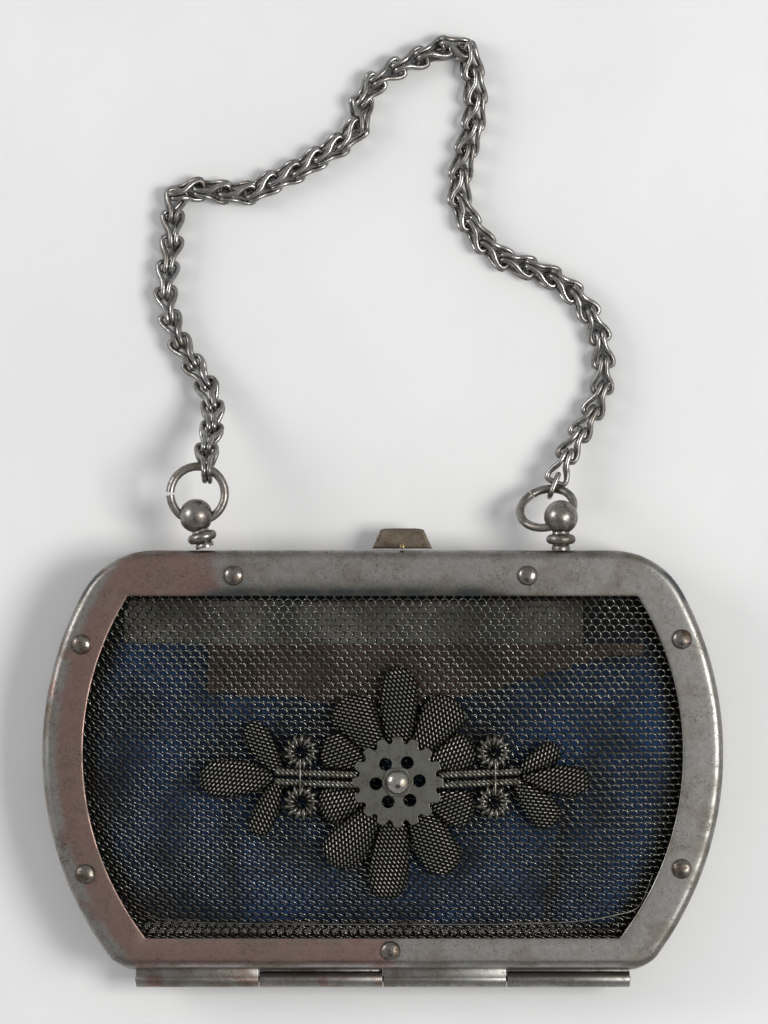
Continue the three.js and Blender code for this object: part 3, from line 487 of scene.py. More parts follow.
class Effects:
    """The shared effects, each built once as a node group."""

    def __init__(self) -> None:
        """Builds every effect."""
        self.groups = {
            Effect.TARNISH: self._tarnish(),
            Effect.GRAIN: self._grain(),
            Effect.LINKED_WIRE: self._linked_wire(),
            Effect.WEAVE: self._weave(),
        }

    @staticmethod
    def _start(effect: Effect, inputs: Sequence[tuple[str, str, object]], outputs: Sequence[tuple[str, str]]) -> tuple[Sheet, bpy.types.Node]:
        """Empty group with its sockets.

        Args:
            effect: which one.
            inputs: name, kind and value of each input.
            outputs: name and kind of each output.

        Returns:
            The sheet to write on and the group's input node.
        """
        tree = bpy.data.node_groups.new(effect.value, "ShaderNodeTree")
        for name, kind, value in inputs:
            socket = tree.interface.new_socket(name, in_out="INPUT", socket_type=f"NodeSocket{kind}")
            if value is not None:
                socket.default_value = value
        for name, kind in outputs:
            tree.interface.new_socket(name, in_out="OUTPUT", socket_type=f"NodeSocket{kind}")
        sheet = Sheet(tree)
        return sheet, sheet.add("NodeGroupInput")

    def _tarnish(self) -> bpy.types.NodeTree:
        """Clean metal with soft stains and small dark pits.

        Returns:
            The group, which puts out a colour and a mask of what is dulled.
        """
        sheet, given = self._start(
            Effect.TARNISH,
            [("Vector", "Vector", None), ("Clean", "Color", (0.5, 0.5, 0.5, 1)), ("Stain", "Color", (0.3, 0.25, 0.2, 1)),
             ("Pit", "Color", (0.05, 0.04, 0.03, 1)), ("Patch", "Float", 0.1), ("Speck", "Float", 1.2), ("Amount", "Float", 0.6)],
            [("Color", "Color"), ("Mask", "Float")],
        )
        g = given.outputs
        broad = sheet.noise(g["Vector"], g["Patch"], 4.0, 0.6)
        stain = sheet.maths("MULTIPLY", sheet.step(broad, 0.43, 0.64), g["Amount"])
        fine = sheet.noise(g["Vector"], g["Speck"], 5.0, 0.68)
        cluster = sheet.step(sheet.noise(g["Vector"], sheet.maths("MULTIPLY", g["Patch"], 2.3), 2.0), 0.36, 0.62)
        pits = sheet.maths("MULTIPLY", sheet.step(fine, 0.5, 0.62), sheet.maths("MULTIPLY", cluster, g["Amount"]))
        mottle = sheet.step(sheet.noise(g["Vector"], sheet.maths("MULTIPLY", g["Speck"], 0.42), 6.0, 0.7), 0.36, 0.7)
        dulled = sheet.blend(sheet.maths("MULTIPLY", mottle, sheet.maths("MULTIPLY", g["Amount"], 0.5)), g["Clean"], g["Stain"])
        colour = sheet.blend(pits, sheet.blend(stain, dulled, g["Stain"]), g["Pit"])
        sheet.add("NodeGroupOutput", {"Color": colour, "Mask": sheet.maths("MAXIMUM", stain, pits)})
        return sheet.tree

    def _grain(self) -> bpy.types.NodeTree:
        """Fine drawn or rubbed lines, as a height."""
        sheet, given = self._start(
            Effect.GRAIN,
            [("Vector", "Vector", None), ("Stretch", "Vector", (1.0, 1.0, 1.0)), ("Scale", "Float", 3.0)],
            [("Height", "Float")],
        )
        drawn = sheet.add("ShaderNodeVectorMath", {0: given.outputs["Vector"], 1: given.outputs["Stretch"]}, operation="MULTIPLY")
        sheet.add("NodeGroupOutput", {"Height": sheet.noise(drawn.outputs[0], given.outputs["Scale"], 4.0, 0.6)})
        return sheet.tree

    def _linked_wire(self) -> bpy.types.NodeTree:
        """Slanted rows of short wires, linked into one another.

        Returns:
            The group, which puts out a height, highest on the wires.
        """
        sheet, given = self._start(
            Effect.LINKED_WIRE,
            [("Vector", "Vector", None), ("Length", "Float", 0.62), ("Row", "Float", 0.36), ("Slant", "Float", -0.6)],
            [("Height", "Float")],
        )
        lean = sheet.add("ShaderNodeCombineXYZ", {2: given.outputs["Slant"]}).outputs[0]
        spot = sheet.add("ShaderNodeMapping", {"Vector": given.outputs["Vector"], "Rotation": lean}).outputs[0]
        brick = sheet.add("ShaderNodeTexBrick", {
            "Vector": spot, "Scale": 1.0, "Mortar Size": 0.3, "Mortar Smooth": 1.0,
            "Brick Width": given.outputs["Length"], "Row Height": given.outputs["Row"],
        }, offset=0.5, offset_frequency=2)
        sheet.add("NodeGroupOutput", {"Height": sheet.maths("SUBTRACT", 1.0, brick.outputs["Fac"])})
        return sheet.tree

    def _weave(self) -> bpy.types.NodeTree:
        """Plain weave of fine threads, as a height."""
        sheet, given = self._start(
            Effect.WEAVE,
            [("Vector", "Vector", None), ("Threads", "Float", 4.0)],
            [("Height", "Float")],
        )
        waves = [
            sheet.add("ShaderNodeTexWave", {"Vector": given.outputs["Vector"], "Scale": given.outputs["Threads"], "Distortion": 0.6,
                                            "Detail": 1.0}, bands_direction=way).outputs["Fac"]
            for way in ("X", "Y")
        ]
        sheet.add("NodeGroupOutput", {"Height": sheet.maths("MULTIPLY", *waves)})
        return sheet.tree

    def use(self, sheet: Sheet, effect: Effect, inputs: dict) -> bpy.types.NodeSocketStandard:
        """Places an effect in a material.

        Args:
            sheet: the material's sheet.
            effect: which one.
            inputs: its values.

        Returns:
            The sockets that it puts out.
        """
        return sheet.add("ShaderNodeGroup", inputs | {}, node_tree=self.groups[effect]).outputs


def rgba(colour: Colour) -> tuple[float, float, float, float]:
    """Colour with full alpha."""
    return (*colour, 1.0)


# ------------------------------------------------------------------ finishes
@dataclass(frozen=True)
class SteelFinish:
    """Old steel: a clean colour that turns to a second one across the piece as a painted reflection, with a painted
    highlight round the outer bevel and a painted reflection on the top bar's inner slope; stains, pits and grain.
    """

    name: str
    clean: Colour
    turned: Colour | None = None
    # Colour of the painted reflection on the top bar's inner slope.
    sloped: Colour = (0.1, 0.115, 0.118)
    turn_from: float = -15.0
    turn_to: float = -10.0
    stain: Colour = (0.13, 0.1, 0.075)
    pit: Colour = (0.035, 0.025, 0.018)
    patch: float = 0.09
    speck: float = 1.3
    amount: float = 0.7
    rough: float = 0.3
    rough_stained: float = 0.55
    stretch: tuple[float, float, float] = (1.0, 1.0, 1.0)
    grain: float = 2.0
    depth: float = 0.02

    def material(self, effects: Effects) -> bpy.types.Material:
        """Builds the finish.

        Args:
            effects: the shared effects.

        Returns:
            The material.
        """
        material = bpy.data.materials.new(self.name)
        material.use_nodes = True
        sheet = Sheet(material.node_tree)
        spot = sheet.place()
        clean: object = rgba(self.clean)
        if self.turned:
            # Painted reflection: the clean colour turning to the second one across the piece stands for warm
            # reflections on one side and grey ones on the other.
            across = sheet.add("ShaderNodeVectorMath", {0: spot, 1: (1.0, 0.47, 0.0)}, operation="DOT_PRODUCT").outputs["Value"]
            wander = sheet.maths("MULTIPLY_ADD", sheet.noise(spot, 0.1, 4.0), 20.0, -10.0)
            parts = sheet.add("ShaderNodeSeparateXYZ", {0: spot}).outputs
            height = sheet.maths("ABSOLUTE", sheet.maths("SUBTRACT", parts[2], DRAWING.hinge_z))
            # Painted highlight, not wear: the rubbed mask turns the outer bevel and rim grey in broken patches.
            edge = sheet.maths("MAXIMUM", sheet.step(height, 5.9, 6.5, 0.9, 0.0), sheet.step(sheet.reach(spot), 56.6, 58.4))
            rubbed = sheet.maths("MULTIPLY", edge, sheet.step(sheet.noise(spot, 0.3, 3.0), 0.34, 0.52))
            turned = sheet.maths("MAXIMUM", sheet.step(sheet.maths("ADD", across, wander), self.turn_from, self.turn_to), rubbed)
            clean = sheet.blend(turned, clean, rgba(self.turned))
            # Painted reflection: the top bar's inner slope takes the dark sloped colour.
            low = sheet.maths("MULTIPLY", sheet.step(height, 6.12, 6.44, 1.0, 0.0), sheet.step(parts[1], 29.2, 30.4))
            clean = sheet.blend(sheet.maths("MULTIPLY", low, sheet.step(parts[1], 34.2, 35.6, 1.0, 0.0)), clean, rgba(self.sloped))
        aged = effects.use(sheet, Effect.TARNISH, {
            "Vector": spot, "Clean": clean, "Stain": rgba(self.stain), "Pit": rgba(self.pit),
            "Patch": self.patch, "Speck": self.speck, "Amount": self.amount,
        })
        grain = effects.use(sheet, Effect.GRAIN, {"Vector": spot, "Stretch": self.stretch, "Scale": self.grain})["Height"]
        height = sheet.maths("SUBTRACT", grain, sheet.maths("MULTIPLY", aged["Mask"], 0.8))
        bump = sheet.add("ShaderNodeBump", {"Strength": 0.35, "Distance": self.depth * MM, "Height": height})
        rough = sheet.add("ShaderNodeMapRange", {0: aged["Mask"], 3: self.rough, 4: self.rough_stained}).outputs[0]
        worn = sheet.maths("ADD", rough, sheet.maths("MULTIPLY_ADD", grain, 0.16, -0.08))
        shader = sheet.add("ShaderNodeBsdfPrincipled", {
            "Base Color": aged["Color"], "Metallic": 1.0, "Roughness": worn, "Normal": bump.outputs[0],
        })
        sheet.add("ShaderNodeOutputMaterial", {0: shader.outputs[0]})
        return material


@dataclass(frozen=True)
class LinkedWireFinish:
    """Close net of fine wire, drawn along the piece's own map."""

    name: str
    wire: Colour = (0.4, 0.395, 0.35)
    gap: Colour = (0.006, 0.006, 0.004)
    length: float = 0.92
    row: float = 0.6
    slant: float = -0.8
    depth: float = 0.3

    def material(self, effects: Effects) -> bpy.types.Material:
        """Builds the finish."""
        material = bpy.data.materials.new(self.name)
        material.use_nodes = True
        sheet = Sheet(material.node_tree)
        spot = sheet.add("ShaderNodeUVMap", uv_map="length").outputs[0]
        height = effects.use(sheet, Effect.LINKED_WIRE, {
            "Vector": spot, "Length": self.length, "Row": self.row, "Slant": self.slant})["Height"]
        share = sheet.step(height, 0.5, 0.95)
        bump = sheet.add("ShaderNodeBump", {"Strength": 1.0, "Distance": self.depth * MM, "Height": height})
        shader = sheet.add("ShaderNodeBsdfPrincipled", {
            "Base Color": sheet.blend(share, rgba(self.gap), rgba(self.wire)), "Metallic": 0.9,
            "Roughness": sheet.maths("MULTIPLY_ADD", share, -0.35, 0.7), "Normal": bump.outputs[0],
        })
        sheet.add("ShaderNodeOutputMaterial", {0: shader.outputs[0]})
        return material


@dataclass(frozen=True)
class ClothFinish:
    """Thin woven cloth, with soft fading."""

    name: str
    colour: Colour
    faded: Colour
    threads: float = 5.0
    shade_from: float = 0.0
    fade: float = 0.08

    def shade(self, sheet: Sheet, spot: bpy.types.NodeSocket) -> bpy.types.NodeSocket:
        """Where painted shade darkens the cloth: round its edge, under the top bar and along its two folds."""
        x, y = sheet.add("ShaderNodeSeparateXYZ", {0: spot}).outputs[:2]
        rim = sheet.maths("MAXIMUM", sheet.step(sheet.reach(spot), self.shade_from, self.shade_from + 3.5), sheet.step(y, 21.5, 25.5))
        for middle, rise, ends, share in ((33.5, 0.17, (4, -6), 0.85), (-27.9, -0.07, (16, 6), 0.6)):
            off = sheet.maths("ABSOLUTE", sheet.maths("SUBTRACT", x, sheet.maths("MULTIPLY_ADD", y, rise, middle)))
            rim = sheet.maths("MAXIMUM", rim, sheet.maths("MULTIPLY", sheet.step(off, 0.3, 1.7, share, 0.0), sheet.step(y, *ends)))
        return rim

    def material(self, effects: Effects) -> bpy.types.Material:
        """Builds the finish."""
        material = bpy.data.materials.new(self.name)
        material.use_nodes = True
        sheet = Sheet(material.node_tree)
        spot = sheet.place()
        weave = effects.use(sheet, Effect.WEAVE, {"Vector": spot, "Threads": self.threads})["Height"]
        fade = sheet.step(sheet.noise(spot, self.fade, 3.0), 0.35, 0.7)
        colour = sheet.blend(sheet.maths("MULTIPLY", weave, 0.3), sheet.blend(fade, rgba(self.colour), rgba(self.faded)), (0.01, 0.01, 0.015, 1))
        if self.shade_from:
            # Painted shade: the silk darkened round its edge, under the top bar and along its two folds.
            colour = sheet.blend(self.shade(sheet, spot), colour, (0.004, 0.005, 0.006, 1))
        bump = sheet.add("ShaderNodeBump", {"Strength": 0.5, "Distance": 0.04 * MM, "Height": weave})
        shader = sheet.add("ShaderNodeBsdfPrincipled", {
            "Base Color": colour, "Roughness": 0.75, "Specular IOR Level": 0.25, "Sheen Weight": 0.03, "Normal": bump.outputs[0],
        })
        sheet.add("ShaderNodeOutputMaterial", {0: shader.outputs[0]})
        return material


@dataclass
class Finishes:
    """Every finish of the purse, built once."""

    effects: Effects = field(default_factory=Effects)

    def __post_init__(self) -> None:
        """Builds the materials."""
        steel = {
            # Painted reflection: the frame's pink-brown clean colour turns to its grey turned colour across it.
            "frame": SteelFinish("frame_steel", (0.265, 0.172, 0.152), turned=(0.3, 0.296, 0.28), stain=(0.125, 0.105, 0.08), amount=0.6,
                                 patch=0.16, speck=2.9, rough=0.36, rough_stained=0.6),
            "hardware": SteelFinish("hardware_steel", (0.31, 0.295, 0.275), patch=0.4, speck=3.2, amount=0.7, rough=0.3),
            "rivet": SteelFinish("rivet_steel", (0.27, 0.25, 0.225), stain=(0.09, 0.06, 0.04), patch=0.5, speck=2.5, amount=0.9, rough=0.25),
            "boss": SteelFinish("boss_steel", (0.5, 0.48, 0.45), stain=(0.2, 0.16, 0.1), patch=0.6, speck=2.5, amount=0.8, rough=0.16),
            "coil": SteelFinish("coil_wire", (0.2, 0.195, 0.17), stain=(0.05, 0.045, 0.035), patch=0.6, speck=2.5, amount=0.8, rough=0.27),
            "disc": SteelFinish("disc_steel", (0.15, 0.152, 0.134), stain=(0.085, 0.08, 0.066), patch=0.3, speck=1.6, amount=0.6, rough=0.4, grain=6.0, depth=0.008),
            "chain": SteelFinish("chain_steel", (0.38, 0.38, 0.375), patch=0.3, speck=2.2, amount=0.6, rough=0.2),
            "wire": SteelFinish("net_wire", (0.32, 0.318, 0.288), stain=(0.07, 0.062, 0.045), patch=0.12, speck=0.9, amount=0.8, rough=0.2, depth=0.005),
            "catch": SteelFinish("catch_steel", (0.24, 0.2, 0.15), patch=0.3, speck=1.5, amount=0.8, rough=0.35),
            "nib": SteelFinish("nib_brass", (0.36, 0.28, 0.13), patch=0.4, speck=2.0, amount=0.5, rough=0.35),
        }
        cloth = {
            "silk": ClothFinish("blue_silk", (0.006, 0.012, 0.022), (0.015, 0.05, 0.13), fade=0.07, shade_from=48.0),
            "brown": ClothFinish("brown_cloth", (0.03, 0.021, 0.013), (0.075, 0.05, 0.034), threads=3.5),
            "grey": ClothFinish("grey_cloth", (0.05, 0.052, 0.038), (0.17, 0.17, 0.145), threads=3.5),
        }
        petal = {"petal": LinkedWireFinish("petal_net")}
        self.made = {key: one.material(self.effects) for key, one in (steel | cloth | petal).items()}

    def __getitem__(self, key: str) -> bpy.types.Material:
        """The material of a finish's name."""
        return self.made[key]


# ------------------------------------------------------------------ frame
@dataclass
class FrameHalf:
    """One pressed steel half: rolled outer edge, sloped face, lip at the opening, leaf and knuckles."""

    front: bool
    knuckles: tuple[int, ...]
    roll_steps: int = 7
    arc: int = 44
    corner: int = 9
    line: int = 10
    flat_share: float = 0.24
    slope_share: float = 0.62
    knuckle_radius: float = 1.4
    leaf: float = 1.15

    def level(self, height: float) -> float:
        """Level of a height over this half's rim."""
        return DRAWING.front(height) if self.front else DRAWING.back(height)

    def section(self) -> list[Flat]:
        """Share across the bar and height over the rim, from the rim over the face and back inside."""
        d = DRAWING
        inner = d.wall / d.side_bar
        points = [(0.0, 0.0), (0.0, 0.35), (0.0, 2.4), (0.0, d.depth - d.bevel - 0.3)]
        for i in range(self.roll_steps + 1):
            a = math.pi / 2 * i / self.roll_steps
            points.append((self.flat_share * 0.92 * (1 - math.cos(a)), d.depth - d.bevel * (1 - math.sin(a))))
        points += [(0.3, d.depth), (self.slope_share - 0.04, d.depth)]
        for t in (0.15, 0.4, 0.7, 0.92):
            points.append((mix(self.slope_share, 0.985, t), d.depth - d.lip * 0.85 * t ** 1.3))
        points += [(0.982, d.depth - d.lip * 0.86), (0.996, d.depth - d.lip), (1.0, d.depth - d.lip - 0.2), (0.996, d.depth - d.lip - 0.65),
                   (0.97, d.depth - d.lip - d.wall), (self.slope_share, d.depth - d.wall * 1.1), (0.25, d.depth - d.wall * 1.15),
                   (inner * 1.2, d.depth - d.bevel - 0.5), (inner, 2.4), (inner, 0.0)]
        return points

    def lifted(self, share: float, x: float, y: float) -> float:
        """How much higher the face is at a place than on the top bar, where it slopes most."""
        steep = max(ramp(22, 29, y) * ramp(-31, -27, x) * ramp(28, 20, x), 0.5 * ramp(-24, -29, y) * ramp(46, 38, abs(x)), 0.06)
        into = min(max((share - self.slope_share) / (0.985 - self.slope_share), 0), 1)
        return (1 - steep) * DRAWING.lip * 0.85 * into ** 1.3

    def shell(self) -> bpy.types.Mesh:
        """The pressed half without its hinge."""
        rings = []
        for share, height in self.section():
            flare = DRAWING.flare * (1 - height / DRAWING.depth)
            points = Outline.across_bar(share, flare).points(self.arc, self.corner, self.line)
            rings.append([(x, y, self.level(height + self.lifted(share, x, y))) for x, y in points])
        return lofted(rings, closed=True)

    def hinge(self) -> bpy.types.Mesh:
        """The leaf and rolled knuckles."""
        d = DRAWING
        pitch = d.hinge_length / 4
        bm = bmesh.new()
        for k in self.knuckles:
            x0 = -d.hinge_length / 2 + k * pitch + 0.12
            x1 = x0 + pitch - 0.24
            matrix = Matrix.Translation(((x0 + x1) / 2, d.hinge_y, d.hinge_z)) @ Matrix.Rotation(math.pi / 2, 4, "Y")
            bmesh.ops.create_cone(bm, cap_ends=True, segments=28, radius1=self.knuckle_radius, radius2=self.knuckle_radius,
                                  depth=x1 - x0, matrix=matrix)
            low, high = sorted((self.level(0.12), self.level(self.leaf)))
            y0, y1 = d.hinge_y, d.foot - d.flare + 0.5
            bmesh.ops.create_cube(bm, size=1, matrix=Matrix.Translation(((x0 + x1) / 2, (y0 + y1) / 2, (low + high) / 2))
                                  @ Matrix.Diagonal((x1 - x0, y1 - y0, high - low, 1)))
        sharp = [e for e in bm.edges if len(e.link_faces) == 2 and e.calc_face_angle(0) > 1]
        bmesh.ops.bevel(bm, geom=sharp, offset=0.16, segments=2, profile=0.5, affect="EDGES", material=-1)
        return mesh_of(bm)

    def build(self, finishes: Finishes) -> None:
        """Builds and fits the half."""
        word, body = ("front", Body.FRONT) if self.front else ("back", Body.BACK)
        fit(f"{word}_frame_pressing", joined([self.shell(), self.hinge()]), finishes["frame"], body, [f"{word}_frame"])


@dataclass
class Rivets:
    """Domed rivets through the front face."""

    radius: float = 1.75
    height: float = 0.8
    places: tuple[tuple[str, float], ...] = (
        ("top", -0.437), ("top", 0.425), ("side", 160), ("side", 21), ("side", 202), ("side", -21), ("foot", 0.023))

    def place(self, bar: str, value: float) -> Flat:
        """Middle of a rivet on the face."""
        d = DRAWING
        if bar == "top":
            return value * d.width / 2, d.top - d.top_bar * 0.55
        if bar == "foot":
            return value * d.width / 2, d.foot + d.foot_bar * 0.55
        radius = d.width / 2 - d.side_bar * 0.5
        return radius * math.cos(math.radians(value)), d.arc_y + radius * math.sin(math.radians(value))

    def build(self, finishes: Finishes) -> None:
        """Builds and fits every rivet."""
        for number, (bar, value) in enumerate(self.places, 1):
            x, y = self.place(bar, value)
            dome = [(self.radius * math.cos(a), 0.22 + self.height * math.sin(a)) for a in (math.radians(9 * k) for k in range(10))]
            bm = turned([(0, -0.15), (self.radius * 0.96, -0.15), (self.radius, 0.02), *dome[:-1], (0, 0.22 + self.height)], 32)
            bmesh.ops.translate(bm, verts=bm.verts, vec=(x, y, DRAWING.face + 0.08))
            fit(f"rivet_dome_{number}", mesh_of(bm), finishes["rivet"], Body.FRONT, [f"rivet_{number}"])


# ------------------------------------------------------------------ net and silk
@dataclass
class WireNet:
    """Panel of small round wire links, each through its neighbours in the next rows."""

    front: bool
    height: float
    pitch: float = 1.62
    row: float = 1.12
    ring: float = 0.83
    wire: float = 0.13
    steps: int = 8
    tilt: float = 46.0
    lean: float = -25.0
    hem: float = 1.0
    limit: float = 99.0
    seed: int = 7

    def level(self, x: float, y: float) -> float:
        """Level of the middle of the links at a place."""
        lift = min(crown(x, y, self.height), self.limit)
        drop = 0.62
        return DRAWING.front(DRAWING.hem - drop + lift) if self.front else DRAWING.back(DRAWING.hem - drop + lift)

    def link(self) -> bmesh.types.BMesh:
        """One link at the origin, tilted as they all lie."""
        bm = bmesh.new()
        start = Matrix.Translation((self.ring, 0, 0)) @ Matrix.Rotation(math.pi / 2, 4, "X")
        circle = bmesh.ops.create_circle(bm, segments=4, radius=self.wire, matrix=start)["verts"]
        edges = list({e for v in circle for e in v.link_edges})
        bmesh.ops.spin(bm, geom=[*circle, *edges], axis=Z_AXIS, cent=(0, 0, 0), steps=self.steps, angle=math.tau, use_merge=True)
        bmesh.ops.recalc_face_normals(bm, faces=bm.faces)
        lean = Vector((math.cos(math.radians(self.lean)), math.sin(math.radians(self.lean)), 0))
        bmesh.ops.rotate(bm, verts=bm.verts, cent=(0, 0, 0), matrix=Matrix.Rotation(math.radians(self.tilt), 3, lean))
        return bm

    def field(self, low: float, high: float) -> bpy.types.Mesh:
        """Links of one part of the panel.

        Args:
            low: where the part starts across the panel.
            high: where it ends.

        Returns:
            The mesh, in millimetres.
        """
        shape = Outline.opening(self.hem)
        bm = self.link()
        size = len(bm.verts)
        columns = int((high - low) / self.pitch)
        rows = int((shape.top - shape.foot) / self.row)
        one = [*bm.verts, *bm.edges, *bm.faces]
        for i in range(1, columns):
            made = bmesh.ops.duplicate(bm, geom=one)["geom"]
            bmesh.ops.translate(bm, verts=[g for g in made if isinstance(g, bmesh.types.BMVert)], vec=(i * self.pitch, 0, 0))
        strip = [*bm.verts, *bm.edges, *bm.faces]
        for j in range(1, rows):
            made = bmesh.ops.duplicate(bm, geom=strip)["geom"]
            bmesh.ops.translate(bm, verts=[g for g in made if isinstance(g, bmesh.types.BMVert)],
                                vec=((j % 2) * self.pitch / 2, j * self.row, 0))
        bmesh.ops.translate(bm, verts=bm.verts, vec=(low + self.pitch * 0.25, shape.foot + self.row * 0.5, 0))
        self.lay(bm, size, shape)
        return mesh_of(bm, turn_out=False)

    def lay(self, bm: bmesh.types.BMesh, size: int, shape: Outline) -> None:
        """Lays each link on the crown and takes out those past the hem."""
        chance = random.Random(self.seed)
        bm.verts.ensure_lookup_table()
        outside = []
        for start in range(0, len(bm.verts), size):
            verts = [bm.verts[k] for k in range(start, start + size)]
            middle = sum((v.co for v in verts), Vector()) / size
            x, y = middle.x, middle.y
            if not shape.holds(x, y):
                outside += verts
                continue
            rise_x = (self.level(x + 0.5, y) - self.level(x - 0.5, y))
            rise_y = (self.level(x, y + 0.5) - self.level(x, y - 0.5))
            turn = Z_AXIS.rotation_difference(Vector((-rise_x, -rise_y, 1)).normalized()).to_matrix()
            turn = turn @ Matrix.Rotation(math.radians(chance.gauss(0, 4)), 3, Vector((chance.random(), chance.random(), 0.1)).normalized())
            place = Vector((x + chance.gauss(0, 0.025), y + chance.gauss(0, 0.025), self.level(x, y)))
            for v in verts:
                v.co = turn @ (v.co - Vector((x, y, middle.z))) + place
        bmesh.ops.delete(bm, geom=outside, context="VERTS")

    def build(self, finishes: Finishes) -> None:
        """Builds and fits the panel in two halves."""
        word, body = ("front", Body.FRONT) if self.front else ("back", Body.BACK)
        reach = Outline.opening(self.hem).radius
        count = math.ceil(reach / self.pitch)
        for side, low, high in (("left", -count * self.pitch, 0.0), ("right", 0.0, count * self.pitch)):
            stands = [f"{word}_net"] if side == "left" else []
            fit(f"{word}_net_{side}", self.field(low, high), finishes["wire"], body, stands, crease=180)


@dataclass
class LacingWire:
    """Thin wire that runs along the net's lower edge just inside the opening."""

    radius: float = 0.13
    places: tuple[Flat, ...] = ((-41.5, -25.6), (-36, -26.7), (-20, -27.1), (0, -27.2), (20, -27.2), (34, -26.7), (41, -25.6), (45.2, -24.0), (47.5, -18.5))

    def build(self, finishes: Finishes) -> None:
        """Builds and fits the wire."""
        path = smooth_path([Vector((x, y, 0)) for x, y in self.places], 14)
        points = [Vector((p.x, p.y, net_top(p.x, p.y) + 0.05)) for p in path]
        fit("net_lacing_wire", wire_mesh([points], self.radius, 6), finishes["wire"], Body.FRONT)


@dataclass
class Silk:
    """Blue silk behind the front net, with a brown and a grey strip over its upper part."""

    margin: float = -0.7
    foot_margin: float = 3.6
    drop: float = 1.75
    thickness: float = 0.12
    cell: float = 0.7

    def folds(self, x: float, y: float) -> float:
        """Depth of the silk's folds at a place."""
        left = 0.75 * math.exp(-((x + 28.6 + 0.07 * (y - 10)) / 1.7) ** 2) * ramp(16, 4, y)
        right = 0.8 * math.exp(-((x - 30.8 - 0.17 * (y + 16)) / 1.5) ** 2) * ramp(2, -6, y)
        waves = 0.22 * math.sin(0.33 * x + 0.9 * math.sin(0.11 * y)) + 0.16 * math.sin(0.21 * x - 0.27 * y + 1.3)
        return left + right + 0.25 + waves * 0.6

    def level(self, x: float, y: float) -> float:
        """Level of the silk's upper side."""
        return net_top(x, y) - self.drop - self.folds(x, y)

    def cloth(self, name: str, keep: Callable[[float, float], bool], box: tuple[float, float, float, float],
              lift: float, finish: bpy.types.Material, stands_for: Sequence[str]) -> float:
        """One piece of the cloth.

        Args:
            name: of the piece.
            keep: tells whether a place is on the piece.
            box: lowest and highest x, then lowest and highest y.
            lift: over the silk.
            finish: its material.
            stands_for: solids that it replaces.

        Returns:
            Its flat area, in square metres.
        """
        x0, x1, y0, y1 = box
        bm = bmesh.new()
        bmesh.ops.create_grid(bm, x_segments=int((x1 - x0) / self.cell), y_segments=int((y1 - y0) / self.cell), size=0.5,
                              matrix=Matrix.Translation(((x0 + x1) / 2, (y0 + y1) / 2, 0)) @ Matrix.Diagonal((x1 - x0, y1 - y0, 1, 1)))
        bmesh.ops.delete(bm, geom=[v for v in bm.verts if not keep(v.co.x, v.co.y)], context="VERTS")
        for v in bm.verts:
            v.co.z = self.level(v.co.x, v.co.y) + lift
        area = sum(f.calc_area() for f in bm.faces) * MM * MM
        bmesh.ops.solidify(bm, geom=bm.faces[:], thickness=self.thickness)
        piece = fit(name, mesh_of(bm), finish, Body.FRONT, stands_for, crease=60)
        log.info("%s: %.1f square centimetres", name, area * 1e4)
        return area

    def build(self, finishes: Finishes) -> None:
        """Builds and fits the three cloths."""
        shape = Outline.opening(-self.margin)
        foot = Outline.opening(0).foot + self.foot_margin - 1.4
        inner = Outline.opening(-2.2)
        upper = Outline.opening(-0.3)
        reach = shape.radius

        def silk(x: float, y: float) -> bool:
            """On the silk."""
            return shape.holds(x, y) and y > foot + 0.4 * math.sin(x * 0.3)

        def brown(x: float, y: float) -> bool:
            """On the brown strip, whose lower edge sags and rises."""
            low = 13.2 - 1.6 * math.sin((x + 31) / 24) if x < 8 else mix(12.0, 20.0, ramp(8, 46, x))
            return inner.holds(x, y) and -31.2 < x < 46 and low < y < 22.6

        def grey(x: float, y: float) -> bool:
            """On the grey strip under the top bar."""
            return upper.holds(x, y) and -46 < x < 35.6 and y > (19.6 if x > -30.5 else 22.3)

        self.cloth("silk_panel", silk, (-reach, reach, foot - 0.5, shape.top), 0.0, finishes["silk"], ["front_silk"])
        self.cloth("brown_strip", brown, (-31.5, 46.0, 10.0, 23.0), 0.45, finishes["brown"], [])
        self.cloth("grey_strip", grey, (-46.4, 36.0, 19.4, 30.4), 0.2, finishes["grey"], [])


# ------------------------------------------------------------------ ornament
@dataclass(frozen=True)
class Leaf:
    """One leaf-shaped pad of close net."""

    node: str
    angle: float
    reach: float
    width: float
    stem: str = ""


